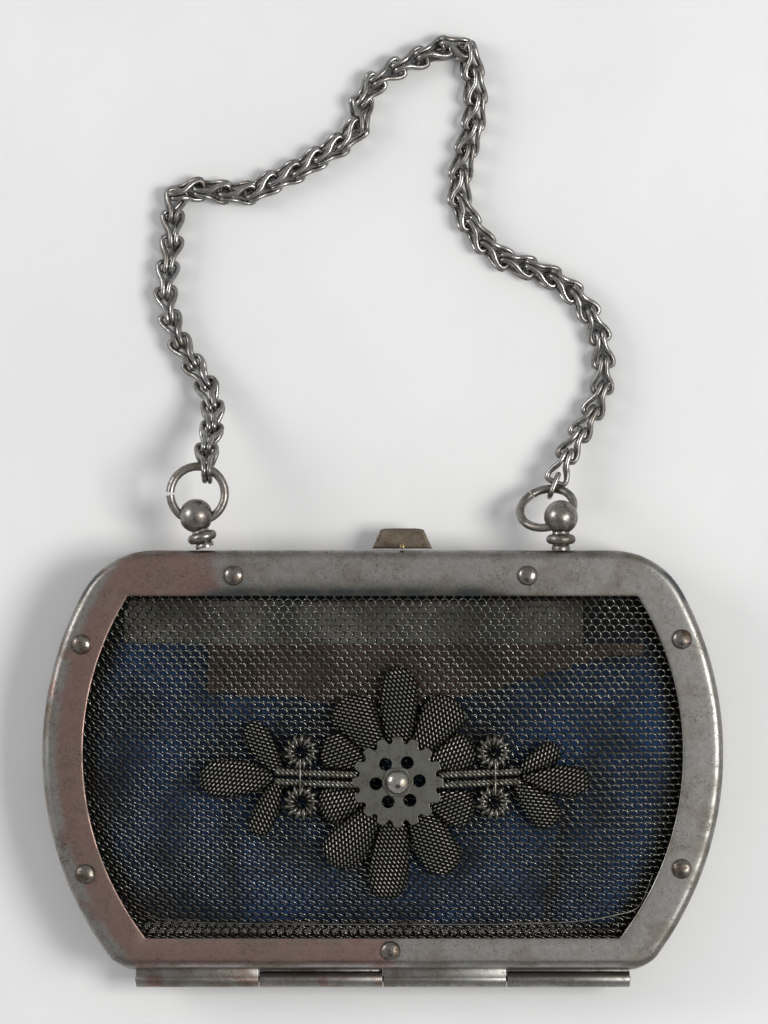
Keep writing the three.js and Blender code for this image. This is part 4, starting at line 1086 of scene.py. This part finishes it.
@dataclass
class Ornament:
    """Leaves, scrolls, stems, toothed disc, washer and boss on the front net."""

    x: float = 2.6
    y: float = -1.9
    petal_start: float = 5.6
    petal_edge: float = 0.45
    petal_rise: float = 0.95
    spray_offset: float = 20.5
    spray_rise: float = 0.9
    spray_start: float = 1.5
    scroll_x: float = 16.9
    scroll_y: float = 4.4
    scroll_rise: float = 0.85
    disc_radius: float = 8.0
    disc_teeth: int = 16
    disc_tooth: float = 1.0
    disc_thickness: float = 0.7
    hole_radius: float = 1.15
    hole_circle: float = 3.8
    hole_turn: float = 4.0
    washer_radius: float = 2.65
    boss_radius: float = 2.1
    stem_spacing: float = 1.75
    rosette: tuple[Leaf, ...] = (
        Leaf("petal_top", 89, 20.1, 6.5), Leaf("petal_upper_left", 123.5, 17.4, 8.3),
        Leaf("petal_left_upper", 154, 14.8, 6.8, "left"), Leaf("petal_left_lower", 199.5, 14.6, 6.8, "right"),
        Leaf("petal_lower_left", 231.2, 18.7, 7.6), Leaf("petal_foot", 264.6, 20.9, 7.0),
        Leaf("petal_lower_right", 300.3, 18.5, 7.4), Leaf("petal_right_lower", 336.5, 14.4, 7.0, "left"),
        Leaf("petal_right_upper", 386, 14.9, 6.8, "right"), Leaf("petal_upper_right", 415, 17.6, 8.0),
    )
    sprays: tuple[tuple[Side, tuple[Leaf, ...]], ...] = (
        (Side.LEFT, (Leaf("spray_left_up", 120.7, 11, 4.7), Leaf("spray_left_out", 182, 14.4, 6.6), Leaf("spray_left_down", 247, 11.3, 4.4))),
        (Side.RIGHT, (Leaf("spray_right_down", -50, 11, 5.8), Leaf("spray_right_out", -4.5, 13.4, 5.3), Leaf("spray_right_up", 34.3, 9.4, 3.9))),
    )

    def half_width(self, t: float) -> float:
        """Share of a leaf's half width at a share of its length."""
        body = 0.5 + 0.5 * math.sin(min(t / 0.6, 1) * math.pi / 2) ** 0.9
        return body if t < 0.7 else math.sqrt(max(1 - ((t - 0.7) / 0.3) ** 2.3, 0))

    def leaf(self, centre: Flat, start: float, leaf: Leaf, rooms: tuple[float, float], finishes: Finishes) -> None:
        """Builds and fits one leaf.

        Args:
            centre: what the leaves fan out from.
            start: where the leaf begins.
            leaf: its sizes.
            rooms: half angles that it may take to the left and right.
            finishes: the finishes.
        """
        angle = math.radians(leaf.angle)
        along = Vector((math.cos(angle), math.sin(angle)))
        side = Vector((-along.y, along.x))
        stem_room = self.stem_spacing / 2 + 0.42 + GAP

        def room(distance: float, degrees: float, clear: float) -> float:
            """Half width that is free at a distance."""
            half = math.radians(min(degrees, 70))
            return max(distance * math.tan(half) - clear / math.cos(half), GAP)

        bm = bmesh.new()
        made = bmesh.ops.create_grid(bm, x_segments=14, y_segments=22, size=1)["verts"]
        uv = bm.loops.layers.uv.new("length")
        table = {}
        for v in made:
            u, t = v.co.x, (v.co.y + 1) / 2
            t = 1 - (1 - t) ** 1.35
            distance = mix(start, leaf.reach, t)
            wide = self.half_width(t) * leaf.width / 2
            degrees, clear = (rooms[0], leaf.stem == "left") if u > 0 else (rooms[1], leaf.stem == "right")
            wide = min(wide, room(distance, degrees, stem_room if clear else 0.02))
            across = u * wide
            spot = Vector(centre) + along * distance + side * across
            pad = (1 - abs(u) ** 2.6) ** 0.5 * min(1, (1 - t) * 9) ** 0.5 * min(1, 0.55 + t * 2.5)
            z = net_top(spot.x, spot.y) + GAP + 0.12 + (self.petal_edge + self.petal_rise) * 0.92 * pad
            table[v] = (across, distance)
            v.co = (spot.x, spot.y, z)
        for face in bm.faces:
            for loop in face.loops:
                loop[uv].uv = table[loop.vert]
        rim = [e for e in bm.edges if e.is_boundary]
        made = bmesh.ops.extrude_edge_only(bm, edges=rim)["geom"]
        skirt = [g for g in made if isinstance(g, bmesh.types.BMVert)]
        for v in skirt:
            v.co.z = net_top(v.co.x, v.co.y) - 0.05
        bmesh.ops.holes_fill(bm, edges=[e for e in bm.edges if e.is_boundary], sides=0)
        bmesh.ops.remove_doubles(bm, verts=bm.verts, dist=0.004)
        fit(f"{leaf.node}_net", mesh_of(bm), finishes["petal"], Body.FRONT, [leaf.node], crease=75)

    def fan(self, leaves: Sequence[Leaf], wrap: bool) -> list[tuple[Leaf, float, float]]:
        """Each leaf with the half angle that it may take on either side."""
        count = len(leaves)
        spread = []
        for i, leaf in enumerate(leaves):
            after = leaves[i + 1].angle if i + 1 < count else (leaves[0].angle + 360 if wrap else leaf.angle + 180)
            before = leaves[i - 1].angle if i else (leaves[-1].angle - 360 if wrap else leaf.angle - 180)
            spread.append((leaf, (after - leaf.angle) / 2, (leaf.angle - before) / 2))
        return spread

    def coil(self, cx: float, cy: float, path: float, radius: float, turns: int) -> list[Vector]:
        """Wire wound round a small circle."""
        points = []
        for i in range(turns * 10):
            a, b = math.tau * i / (turns * 10), math.tau * i / 10
            reach = path + radius * math.cos(b)
            x, y = cx + reach * math.cos(a), cy + reach * math.sin(a)
            points.append(Vector((x, y, net_top(x, y) + GAP + 0.9 + radius * 0.62 * math.sin(b))))
        return points

    def rope(self, start: Flat, end: Flat, radius: float, turns: float, phase: float) -> list[Vector]:
        """One strand of a twisted stem."""
        steps = int(turns * 16)
        flat = Vector((end[0] - start[0], end[1] - start[1], 0))
        side = Vector((-flat.y, flat.x, 0)).normalized()
        points = []
        for i in range(steps + 1):
            t, b = i / steps, math.tau * turns * i / steps + phase
            x, y = mix(start[0], end[0], t), mix(start[1], end[1], t)
            points.append(Vector((x, y, net_top(x, y) + GAP + 0.62 + radius * math.sin(b))) + side * radius * math.cos(b))
        return points

    def scrollwork(self, side: Side, finishes: Finishes) -> None:
        """Builds and fits the coils, upright and double stem of one side."""
        s = side.value
        cx = self.x + s * self.scroll_x
        meshes = []
        for up in (1, -1):
            cy = self.y + self.scroll_rise + up * self.scroll_y
            meshes.append(wire_mesh([self.coil(cx, cy, 2.1, 0.85, 13)], 0.34, 7, closed=True))
            core = [Vector((cx + 2.05 * math.cos(a), cy + 2.05 * math.sin(a), net_top(cx, cy) + GAP + 0.75))
                    for a in (math.tau * k / 24 for k in range(24))]
            meshes.append(wire_mesh([core], 0.45, 8, closed=True))
        ux = cx + s * 0.2
        upright = [Vector((ux, self.y + self.scroll_rise + k * self.scroll_y * 0.7, net_top(ux, self.y) + GAP + 1.7)) for k in (1, 0.5, 0, -0.5, -1)]
        meshes.append(wire_mesh([upright], 0.2, 8))
        first, last = self.petal_start + 1.4, self.spray_offset + 0.9
        for k in (0.5, -0.5):
            ends = [(self.x + s * reach, self.y + self.spray_rise * reach / self.spray_offset + k * self.stem_spacing) for reach in (first, last)]
            strands = [self.rope(*ends, 0.42, 6, math.tau * i / 3) for i in range(3)]
            meshes.append(wire_mesh(strands, 0.36, 6))
        fit(f"scroll_coils_{side.word}", joined(meshes), finishes["coil"], Body.FRONT, [f"scrollwork_{side.word}"], crease=180)

    @property
    def disc_level(self) -> float:
        """Level of the disc's under side."""
        return net_top(self.x, self.y) + GAP + 0.45 + 0.55 + GAP

    def plate(self, radius_at: Callable[[float], float], count: int, low: float, thickness: float, bevel: float) -> bmesh.types.BMesh:
        """Flat plate with a shaped edge, its upper edges rounded over."""
        bm = bmesh.new()
        verts = bmesh.ops.create_circle(bm, cap_ends=True, segments=count, radius=1)["verts"]
        for v in verts:
            a = math.atan2(v.co.y, v.co.x)
            radius = radius_at(a)
            v.co = (self.x + radius * math.cos(a), self.y + radius * math.sin(a), low)
        made = bmesh.ops.extrude_face_region(bm, geom=bm.faces[:])["geom"]
        top = [g for g in made if isinstance(g, bmesh.types.BMVert)]
        bmesh.ops.translate(bm, verts=top, vec=(0, 0, thickness))
        rims = [e for e in bm.edges if len(e.link_faces) == 2 and e.calc_face_angle(0) > 1.2 and abs(e.verts[0].co.z - e.verts[1].co.z) < 1e-4]
        bmesh.ops.bevel(bm, geom=rims, offset=bevel, segments=2, profile=0.5, affect="EDGES", material=-1)
        return bm

    def rosette_disc(self) -> bpy.types.Mesh:
        """Toothed disc with its ring of holes."""
        def edge(a: float) -> float:
            """Radius of the toothed edge at an angle."""
            wave = math.cos(a * self.disc_teeth)
            return self.disc_radius - self.disc_tooth * (1 - ramp(-0.95, 0.35, wave)) - 0.09 * (1 - wave)

        bm = self.plate(edge, self.disc_teeth * 18, self.disc_level, self.disc_thickness, 0.1)
        disc = mesh_of(bm)
        holes = bmesh.new()
        for i in range(6):
            a = math.tau * i / 6 + math.radians(self.hole_turn)
            where = Matrix.Translation((self.x + self.hole_circle * math.cos(a), self.y + self.hole_circle * math.sin(a), self.disc_level))
            bmesh.ops.create_cone(holes, cap_ends=True, segments=28, radius1=self.hole_radius, radius2=self.hole_radius, depth=4, matrix=where)
        return cut(disc, mesh_of(holes))

    def build(self, finishes: Finishes) -> None:
        """Builds and fits the whole ornament."""
        for leaf, left, right in self.fan(self.rosette, wrap=True):
            self.leaf((self.x, self.y), self.petal_start, leaf, (left, right), finishes)
        for side, leaves in self.sprays:
            centre = (self.x + side.value * self.spray_offset, self.y + self.spray_rise)
            for leaf, left, right in self.fan(leaves, wrap=False):
                self.leaf(centre, self.spray_start, leaf, (left, right), finishes)
            self.scrollwork(side, finishes)
        fit("toothed_disc", self.rosette_disc(), finishes["disc"], Body.FRONT, ["rosette_disc"], crease=14)
        washer_level = self.disc_level + self.disc_thickness + 0.05
        washer = self.plate(lambda a: self.washer_radius * (0.94 + 0.1 * abs(math.cos(3 * (a - math.radians(self.hole_turn)))) ** 3), 144, washer_level, 0.45, 0.12)
        fit("scalloped_washer", mesh_of(washer), finishes["disc"], Body.FRONT, ["rosette_washer"], crease=14)
        level = washer_level + 0.45
        dome = [(self.boss_radius * math.cos(a), 0.15 + 1.35 * math.sin(a)) for a in (math.radians(9 * k) for k in range(10))]
        bm = turned([(0, -0.1), (self.boss_radius * 0.97, -0.1), *dome[:-1], (0, 1.5)], 36)
        bmesh.ops.translate(bm, verts=bm.verts, vec=(self.x, self.y, level))
        fit("boss_dome", mesh_of(bm), finishes["boss"], Body.FRONT, ["rosette_boss"])


# ------------------------------------------------------------------ finials, rings and chain
@dataclass
class Finial:
    """Turned finial with its bored ball and the split ring that hangs in it."""

    side: Side
    lean: float
    across: Vector
    out: Vector
    hook: float
    split: float
    x: float = 31.4
    drop: float = 2.4
    foot_radius: float = 1.65
    collar: float = 2.6
    neck: float = 1.5
    ball: float = 3.0
    ball_offset: float = 5.9
    ring_radius: float = 4.8
    ring_wire: float = 0.75
    ring_gap: float = 0.5
    ring_seat: float = 0.95

    def __post_init__(self) -> None:
        """Squares the ring's two directions."""
        self.across = self.across.normalized()
        self.out = (self.out - self.across * self.out.dot(self.across)).normalized()

    @property
    def level(self) -> float:
        """Level of the finial's axis."""
        return DRAWING.face - self.drop

    @property
    def lift(self) -> float:
        """How far a leaning foot is lifted so that its low edge clears the wall."""
        return GAP + self.foot_radius * math.sin(math.radians(self.lean))

    @property
    def axis(self) -> Vector:
        """Direction of the finial."""
        return Vector((-math.sin(math.radians(self.lean)), math.cos(math.radians(self.lean)), 0))

    @property
    def ball_centre(self) -> Vector:
        """Middle of the ball."""
        return Vector((self.side.value * self.x, DRAWING.top + self.lift, self.level)) + self.axis * (self.ball_offset - GAP)

    @property
    def ring_centre(self) -> Vector:
        """Middle of the ring."""
        return self.ball_centre - self.axis * self.ring_seat + self.out * self.ring_radius

    def ring_point(self, angle: float) -> Vector:
        """Point on the ring's middle line, at an angle in radians."""
        return self.ring_centre + self.across * self.ring_radius * math.cos(angle) + self.out * self.ring_radius * math.sin(angle)

    @property
    def hook_point(self) -> Vector:
        """Where the chain hangs on the ring."""
        return self.ring_point(math.radians(self.hook))

    def knop(self) -> bpy.types.Mesh:
        """The turned body, bored to the ring's curve."""
        g = GAP
        neck_end = self.ball_offset - self.ball * 0.9
        ball = [(self.ball * math.cos(a), self.ball_offset + self.ball * math.sin(a)) for a in (math.radians(k) for k in range(-60, 90, 8))]
        collar = [(self.collar * (0.7 + 0.3 * math.cos(a)), g + 1.7 + 0.85 * math.sin(a)) for a in (math.radians(k) for k in range(-90, 91, 15))]
        profile = [(0, g - 0.25), (self.foot_radius * 0.98, g - 0.25), (self.foot_radius, g + 0.1), (self.foot_radius * 0.97, g + 0.45),
                   (self.foot_radius * 0.84, g + 0.7), *collar, (self.neck * 1.05, g + 2.6), (self.neck, min(neck_end, g + 2.85)),
                   *ball, (0, self.ball_offset + self.ball)]
        bm = turned(profile, 40)
        side = self.side.value
        matrix = (Matrix.Translation((side * self.x, DRAWING.top, self.level)) @ Matrix.Rotation(-math.pi / 2, 4, "X")
                  @ Matrix.Translation((0, 0, self.lift)) @ Matrix.Rotation(-math.radians(self.lean), 4, "Y") @ Matrix.Translation((0, 0, -g)))
        bmesh.ops.transform(bm, verts=bm.verts, matrix=matrix)
        half = math.asin(min(self.ball / self.ring_radius, 1)) * 1.3
        bore = wire_mesh([[self.ring_point(-math.pi / 2 + mix(-half, half, i / 16)) for i in range(17)]], self.ring_wire + 0.45, 16)
        return cut(mesh_of(bm), bore)

    def ring(self) -> bpy.types.Mesh:
        """The split wire ring with softened ends."""
        split, half = math.radians(self.split), self.ring_gap / self.ring_radius / 2
        return wire_mesh([[self.ring_point(mix(split + half, split + math.tau - half, i / 64)) for i in range(65)]], self.ring_wire, 14)

    def build(self, finishes: Finishes) -> None:
        """Builds and fits the finial and its ring."""
        word = self.side.word
        fit(f"finial_turned_{word}", self.knop(), finishes["hardware"], Body.FRONT, [f"finial_{word}"], crease=50)
        fit(f"split_ring_{word}", self.ring(), finishes["hardware"], Body.FRONT, [f"ring_{word}"], crease=50)


@dataclass
class CarryingChain:
    """Loop-in-loop chain, every link an oval folded in half round the one before."""

    right: Finial
    left: Finial
    wire: float = 0.46
    spacing: float = 0.5
    eye: float = 0.5
    pitch: float = 4.6
    fuse: float = 0.7
    slope: float = 11.0
    reach: float = 90.2
    spread: float = 39.2
    rolls: tuple[Flat, ...] = ((0, 0), (0.08, 0), (0.2, 18), (0.34, 30), (0.43, 32), (0.48, 0), (0.56, -30), (0.68, -32), (0.76, -8), (0.9, 6), (1, 0))
    route: tuple[Flat, ...] = ()

    def middle_line(self) -> list[Vector]:
        """Middle line from the right ring round to the left one, in even small steps."""
        lie = 3.2 * self.spacing + 0.43
        start = self.right.hook_point
        end = self.left.hook_point.lerp(self.left.ring_centre, GAP * 1.5 / self.left.ring_radius)
        points = [Vector((x * self.spread, DRAWING.top + y * self.reach, lie)) for x, y in self.route]
        for ring, near in ((start, points[:6]), (end, points[-6:])):
            for p in near:
                p.z = lie + (ring.z - lie) * math.exp(-(math.hypot(p.x - ring.x, p.y - ring.y) / self.slope) ** 2) * 0.92
        return self.centripetal([start, *points, end])

    @staticmethod
    def centripetal(points: Sequence[Vector], steps: int = 50) -> list[Vector]:
        """Rounded path whose speed follows the root of each span's length."""
        ends = [points[0] * 2 - points[1], *points, points[-1] * 2 - points[-2]]
        path = []
        for i in range(1, len(ends) - 2):
            a, b, c, d = ends[i - 1:i + 3]
            ta, tb, tc = ((q - p).length ** 0.5 for p, q in ((a, b), (b, c), (c, d)))
            m1 = ((b - a) / ta - (c - a) / (ta + tb) + (c - b) / tb) * tb
            m2 = ((c - b) / tb - (d - b) / (tb + tc) + (d - c) / tc) * tb
            for k in range(steps):
                t = k / steps
                path.append(b + m1 * t + (-3 * b + 3 * c - 2 * m1 - m2) * t ** 2 + (2 * b - 2 * c + m1 + m2) * t ** 3)
        return [*path, points[-1].copy()]

    @staticmethod
    def at_length(path: Sequence[Vector], lengths: Sequence[float]) -> list[Vector]:
        """Points at given lengths along a path."""
        found, run, i = [], 0.0, 0
        for want in lengths:
            while i + 2 < len(path) and run + (path[i + 1] - path[i]).length < want:
                run += (path[i + 1] - path[i]).length
                i += 1
            step = (path[i + 1] - path[i]).length
            found.append(path[i].lerp(path[i + 1], min(max((want - run) / step, 0), 1)))
        return found

    @staticmethod
    def directions(start: Vector, end: Vector, roll: float = 0.0) -> tuple[Vector, Vector, Vector]:
        """Across, up and along a stretch of chain that is rolled by an angle in degrees."""
        along = (end - start).normalized()
        across = Z_AXIS.cross(along).normalized()
        across = Matrix.Rotation(math.radians(roll), 3, along) @ across
        return across, along.cross(across), along

    def roll_at(self, share: float) -> float:
        """How far the chain is rolled, in degrees, at a share of its length."""
        for (a, low), (b, high) in zip(self.rolls, self.rolls[1:]):
            if a <= share <= b:
                return mix(low, high, ramp(a, b, share))
        return 0.0

    def link(self, start: Vector, end: Vector, after: Vector | None, rolls: Flat) -> list[Vector]:
        """Points of one link, with its fold at the start and its loops past the end."""
        w, s, pitch = self.spacing, self.eye, (end - start).length
        across, up, along = self.directions(start, end, rolls[0])

        def at(u: float, v: float, t: float) -> Vector:
            """Place across, up and along the link."""
            return start + across * u + up * v + along * t

        if after:
            ax, up_after, on = self.directions(end, after, rolls[1])
            tight = end + ax * s + up_after * w + on * self.fuse
        else:
            tight = at(s, 0, pitch + 2.4 * w)
        loose = at(-s, 0, pitch + 2.4 * w)
        near, gape = (1.4, 3.3) if after else (1.8, 4.1)

        def leg(side: float, lift: float, reach: float) -> list[Vector]:
            """One strand from the fold's corner, round its lobe and in beside its fellow."""
            return [at(side * (s + 1.5 * w), lift * w * 0.9, -0.34), at(side * (s + 2.5 * w), lift * w * 1.15, 0.5),
                    at(side * (s + 1.75 * w), lift * w * 1.9, 1.75), at(side * (s + 0.3 * w), lift * w * (gape - 0.25), 3.1),
                    at(side * s * 0.92, lift * w * gape, reach - 0.35), at(side * s * 0.96, lift * w * gape * 0.72, reach + 0.35)]

        upper_right, lower_right = leg(1, 1, pitch + near * w), leg(1, -1, pitch + (4.2 - near) * w * 0.86)
        upper_left, lower_left = leg(-1, 1, pitch + 1.8 * w), leg(-1, -1, pitch + 1.8 * w)
        return [*upper_right, tight, *reversed(lower_right), *lower_left, loose, *reversed(upper_left)]

    def end_loop(self, ring: Vector, start: Vector, end: Vector) -> list[Vector]:
        """Oval loop that joins the first link's fold to the right ring."""
        w, reach = self.spacing, (ring - start).length
        across, up, along = self.directions(ring, start)
        inside = -(0.75 + 0.43 + GAP)
        _, up_on, on = self.directions(start, end)

        def at(v: float, t: float) -> Vector:
            """Place up and along the loop."""
            return ring + up * v + along * t

        return [at(0, inside), at(2.9 * w, inside * 0.6), at(3.2 * w, reach + 1.4 * w), start + up_on * w + on * self.fuse,
                at(-3.2 * w, reach + 2.4 * w), at(-2.9 * w, inside * 0.6)]

    def build(self, finishes: Finishes) -> None:
        """Builds and fits the chain in two lengths."""
        path = self.middle_line()
        length = sum((b - a).length for a, b in zip(path, path[1:]))
        first = 0.75 + 0.43 + GAP * 1.5
        count = round((length - first) / self.pitch)
        knots = self.at_length(path, [mix(first, length, i / count) for i in range(count + 1)])
        loops = [self.end_loop(path[0], knots[0], knots[1])]
        for i, (a, b) in enumerate(zip(knots, knots[1:])):
            rolls = (self.roll_at(i / count), self.roll_at((i + 1) / count))
            loops.append(self.link(a, b, knots[i + 2] if i + 2 < len(knots) else None, rolls))
        paths = [smooth_path(loop, 3 if len(loop) > 10 else 8, closed=True) for loop in loops]
        log.info("chain: %d links along %.1f mm", len(loops), length)
        fit("chain_links", wire_mesh(paths, self.wire, 10, closed=True), finishes["chain"], Body.FRONT, ["carrying_chain"], crease=180)


CHAIN_ROUTE: tuple[Flat, ...] = (
    (0.8214, 0.1774), (0.898, 0.235), (0.9872, 0.3038), (1, 0.3814), (0.9617, 0.4501),
    (0.8622, 0.5089), (0.727, 0.5477), (0.5714, 0.5676), (0.4668, 0.6009), (0.4031, 0.6375),
    (0.3495, 0.6818), (0.3469, 0.7306), (0.3724, 0.7805), (0.4031, 0.8248), (0.4209, 0.8692),
    (0.4184, 0.9146), (0.3954, 0.959), (0.3673, 1), (0.2372, 0.9834), (0.125, 0.9634),
    (0.023, 0.9424), (-0.0587, 0.9146), (-0.1046, 0.8792), (-0.1046, 0.8348), (-0.1837, 0.8038),
    (-0.2883, 0.7761), (-0.3903, 0.7483), (-0.5026, 0.7273), (-0.5969, 0.704), (-0.75, 0.7073),
    (-0.8929, 0.714), (-0.9745, 0.6851), (-0.9464, 0.653), (-0.9668, 0.5865), (-0.9872, 0.5089),
    (-0.9464, 0.4302), (-0.8673, 0.3714), (-0.7857, 0.3137), (-0.7679, 0.255), (-0.7959, 0.1962),
)


@dataclass
class PressCatch:
    """Thumb tab behind the top edge, with its nib."""

    x: float = 3.4
    width: float = 10.7
    tip_width: float = 7.7
    reach: float = 3.9
    thickness: float = 0.8
    height: float = 5.3
    nib_width: float = 0.8

    def build(self, finishes: Finishes) -> None:
        """Builds and fits the tab and the nib."""
        d = DRAWING
        y0, y1 = d.top + GAP, d.top + self.reach
        bm = bmesh.new()
        bmesh.ops.create_grid(bm, x_segments=12, y_segments=6, size=0.5)
        for v in bm.verts:
            t = v.co.y + 0.5
            half = mix(self.width, self.tip_width, t) / 2
            droop = 0.25 * t * t + 0.12 * math.cos(v.co.x * 5.0) * t
            v.co = (self.x + 2 * v.co.x * half, mix(y0, y1 - 0.25 * (2 * abs(v.co.x)) ** 6, t), self.height + self.thickness - droop)
        bmesh.ops.solidify(bm, geom=bm.faces[:], thickness=self.thickness * 0.7)
        rims = [e for e in bm.edges if len(e.link_faces) == 2 and e.calc_face_angle(0) > 1]
        bmesh.ops.bevel(bm, geom=rims, offset=0.12, segments=2, profile=0.5, affect="EDGES", material=-1)
        fit("thumb_tab", mesh_of(bm), finishes["catch"], Body.CATCH, ["press_catch"], crease=45)
        top = d.face - d.bevel * 0.4
        low = self.height + self.thickness - 0.2
        bm = bmesh.new()
        bmesh.ops.create_cube(bm, size=1, matrix=Matrix.Translation((self.x, y0 + self.nib_width / 2, (low + top) / 2))
                              @ Matrix.Diagonal((self.nib_width, self.nib_width, top - low, 1)))
        bmesh.ops.bevel(bm, geom=bm.edges[:], offset=0.18, segments=3, profile=0.5, affect="EDGES", material=-1)
        fit("catch_nib", mesh_of(bm), finishes["nib"], Body.CATCH)


# ------------------------------------------------------------------ studio
@dataclass
class Studio:
    """Pale floor, soft light from the lower right and a camera straight above."""

    aim: Flat = (0.2, 45.4)
    distance: float = 1.1
    frame_height: float = 180.2
    floor_size: float = 4.0
    key_energy: float = 5.0
    fill_energy: float = 2.6
    world: float = 0.46
    world_dark: float = 0.05

    def floor(self) -> None:
        """Pale matt surface."""
        bm = bmesh.new()
        bmesh.ops.create_grid(bm, x_segments=1, y_segments=1, size=self.floor_size / 2, matrix=Matrix.Translation((0, 0, -0.00005)))
        mesh = bpy.data.meshes.new("floor")
        bm.to_mesh(mesh)
        bm.free()
        material = bpy.data.materials.new("floor")
        material.use_nodes = True
        sheet = Sheet(material.node_tree)
        tone = sheet.blend(sheet.step(sheet.noise(sheet.place(), 0.02, 4.0), 0.3, 0.7), (0.74, 0.745, 0.745, 1), (0.78, 0.785, 0.785, 1))
        shader = sheet.add("ShaderNodeBsdfPrincipled", {"Base Color": tone, "Roughness": 0.75})
        sheet.add("ShaderNodeOutputMaterial", {0: shader.outputs[0]})
        mesh.materials.append(material)
        floor = bpy.data.objects.new("floor", mesh)
        bpy.context.scene.collection.objects.link(floor)
        floor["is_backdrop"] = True

    def lamp(self, name: str, place: Sequence[float], size: float, energy: float, colour: Colour) -> None:
        """Square soft light aimed at the purse."""
        light = bpy.data.lights.new(name, "AREA")
        light.shape, light.size, light.energy, light.color = "SQUARE", size, energy, colour
        lamp = bpy.data.objects.new(name, light)
        lamp.location = place
        lamp.rotation_mode = "QUATERNION"
        lamp.rotation_quaternion = (Vector((0, 0.03, 0)) - Vector(place)).to_track_quat("-Z", "Y")
        bpy.context.scene.collection.objects.link(lamp)

    def camera(self) -> None:
        """Camera straight above the middle of the picture."""
        data = bpy.data.cameras.new("camera")
        data.lens = data.sensor_width * (self.distance / MM - DRAWING.face) / self.frame_height
        data.clip_start, data.clip_end = 0.05, 10
        camera = bpy.data.objects.new("camera", data)
        camera.location = (self.aim[0] * MM, self.aim[1] * MM, self.distance)
        bpy.context.scene.collection.objects.link(camera)
        bpy.context.scene.camera = camera

    def build(self) -> None:
        """Sets up the studio."""
        self.floor()
        self.lamp("key", (0.52, 0.0, 0.72), 0.34, self.key_energy, (1.0, 0.985, 0.96))
        self.lamp("fill", (-0.72, 0.3, 0.46), 0.36, self.fill_energy, (1.0, 0.97, 0.96))
        world = bpy.data.worlds.new("studio")
        world.use_nodes = True
        sheet = Sheet(world.node_tree)
        way = sheet.add("ShaderNodeTexCoord").outputs["Generated"]
        toward = sheet.add("ShaderNodeVectorMath", {0: way, 1: Vector((0.0, -0.46, 0.88)).normalized()}, operation="DOT_PRODUCT").outputs["Value"]
        strength = sheet.step(toward, 0.93, 0.985, self.world, self.world_dark)
        back = sheet.add("ShaderNodeBackground", {"Color": (0.96, 0.98, 1.0, 1), "Strength": strength})
        sheet.add("ShaderNodeOutputWorld", {0: back.outputs[0]})
        bpy.context.scene.world = world
        bpy.context.scene.view_settings.view_transform = "Standard"
        self.camera()


def main() -> None:
    """Builds the purse piece by piece, then the studio."""
    logging.basicConfig(level=logging.INFO, format="%(name)s: %(message)s")
    cad = tuple(p.copy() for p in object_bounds())
    Studio().build()
    finishes = Finishes()
    right = Finial(Side.RIGHT, 0.0, Vector((0.84, 0.49, -0.24)), Vector((-0.5, 0.53, -0.69)), 45, 93)
    left = Finial(Side.LEFT, 16.0, Vector((1, 0, 0)), Vector((0, 1, 0)), 68, 180)
    d = DRAWING
    sections = [
        FrameHalf(True, (0, 2)), FrameHalf(False, (1, 3)), Rivets(),
        WireNet(True, d.front_crown), WireNet(False, d.back_crown, limit=d.back_rim - d.hem - 0.5, seed=11),
        LacingWire(), Silk(), Ornament(), right, left, CarryingChain(right, left, route=CHAIN_ROUTE), PressCatch(),
    ]
    for section in sections:
        section.build(finishes)
    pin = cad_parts["hinge_pin"]
    pin.data.materials.clear()
    pin.data.materials.append(finishes["hardware"])


if __name__ == "__main__":
    main()
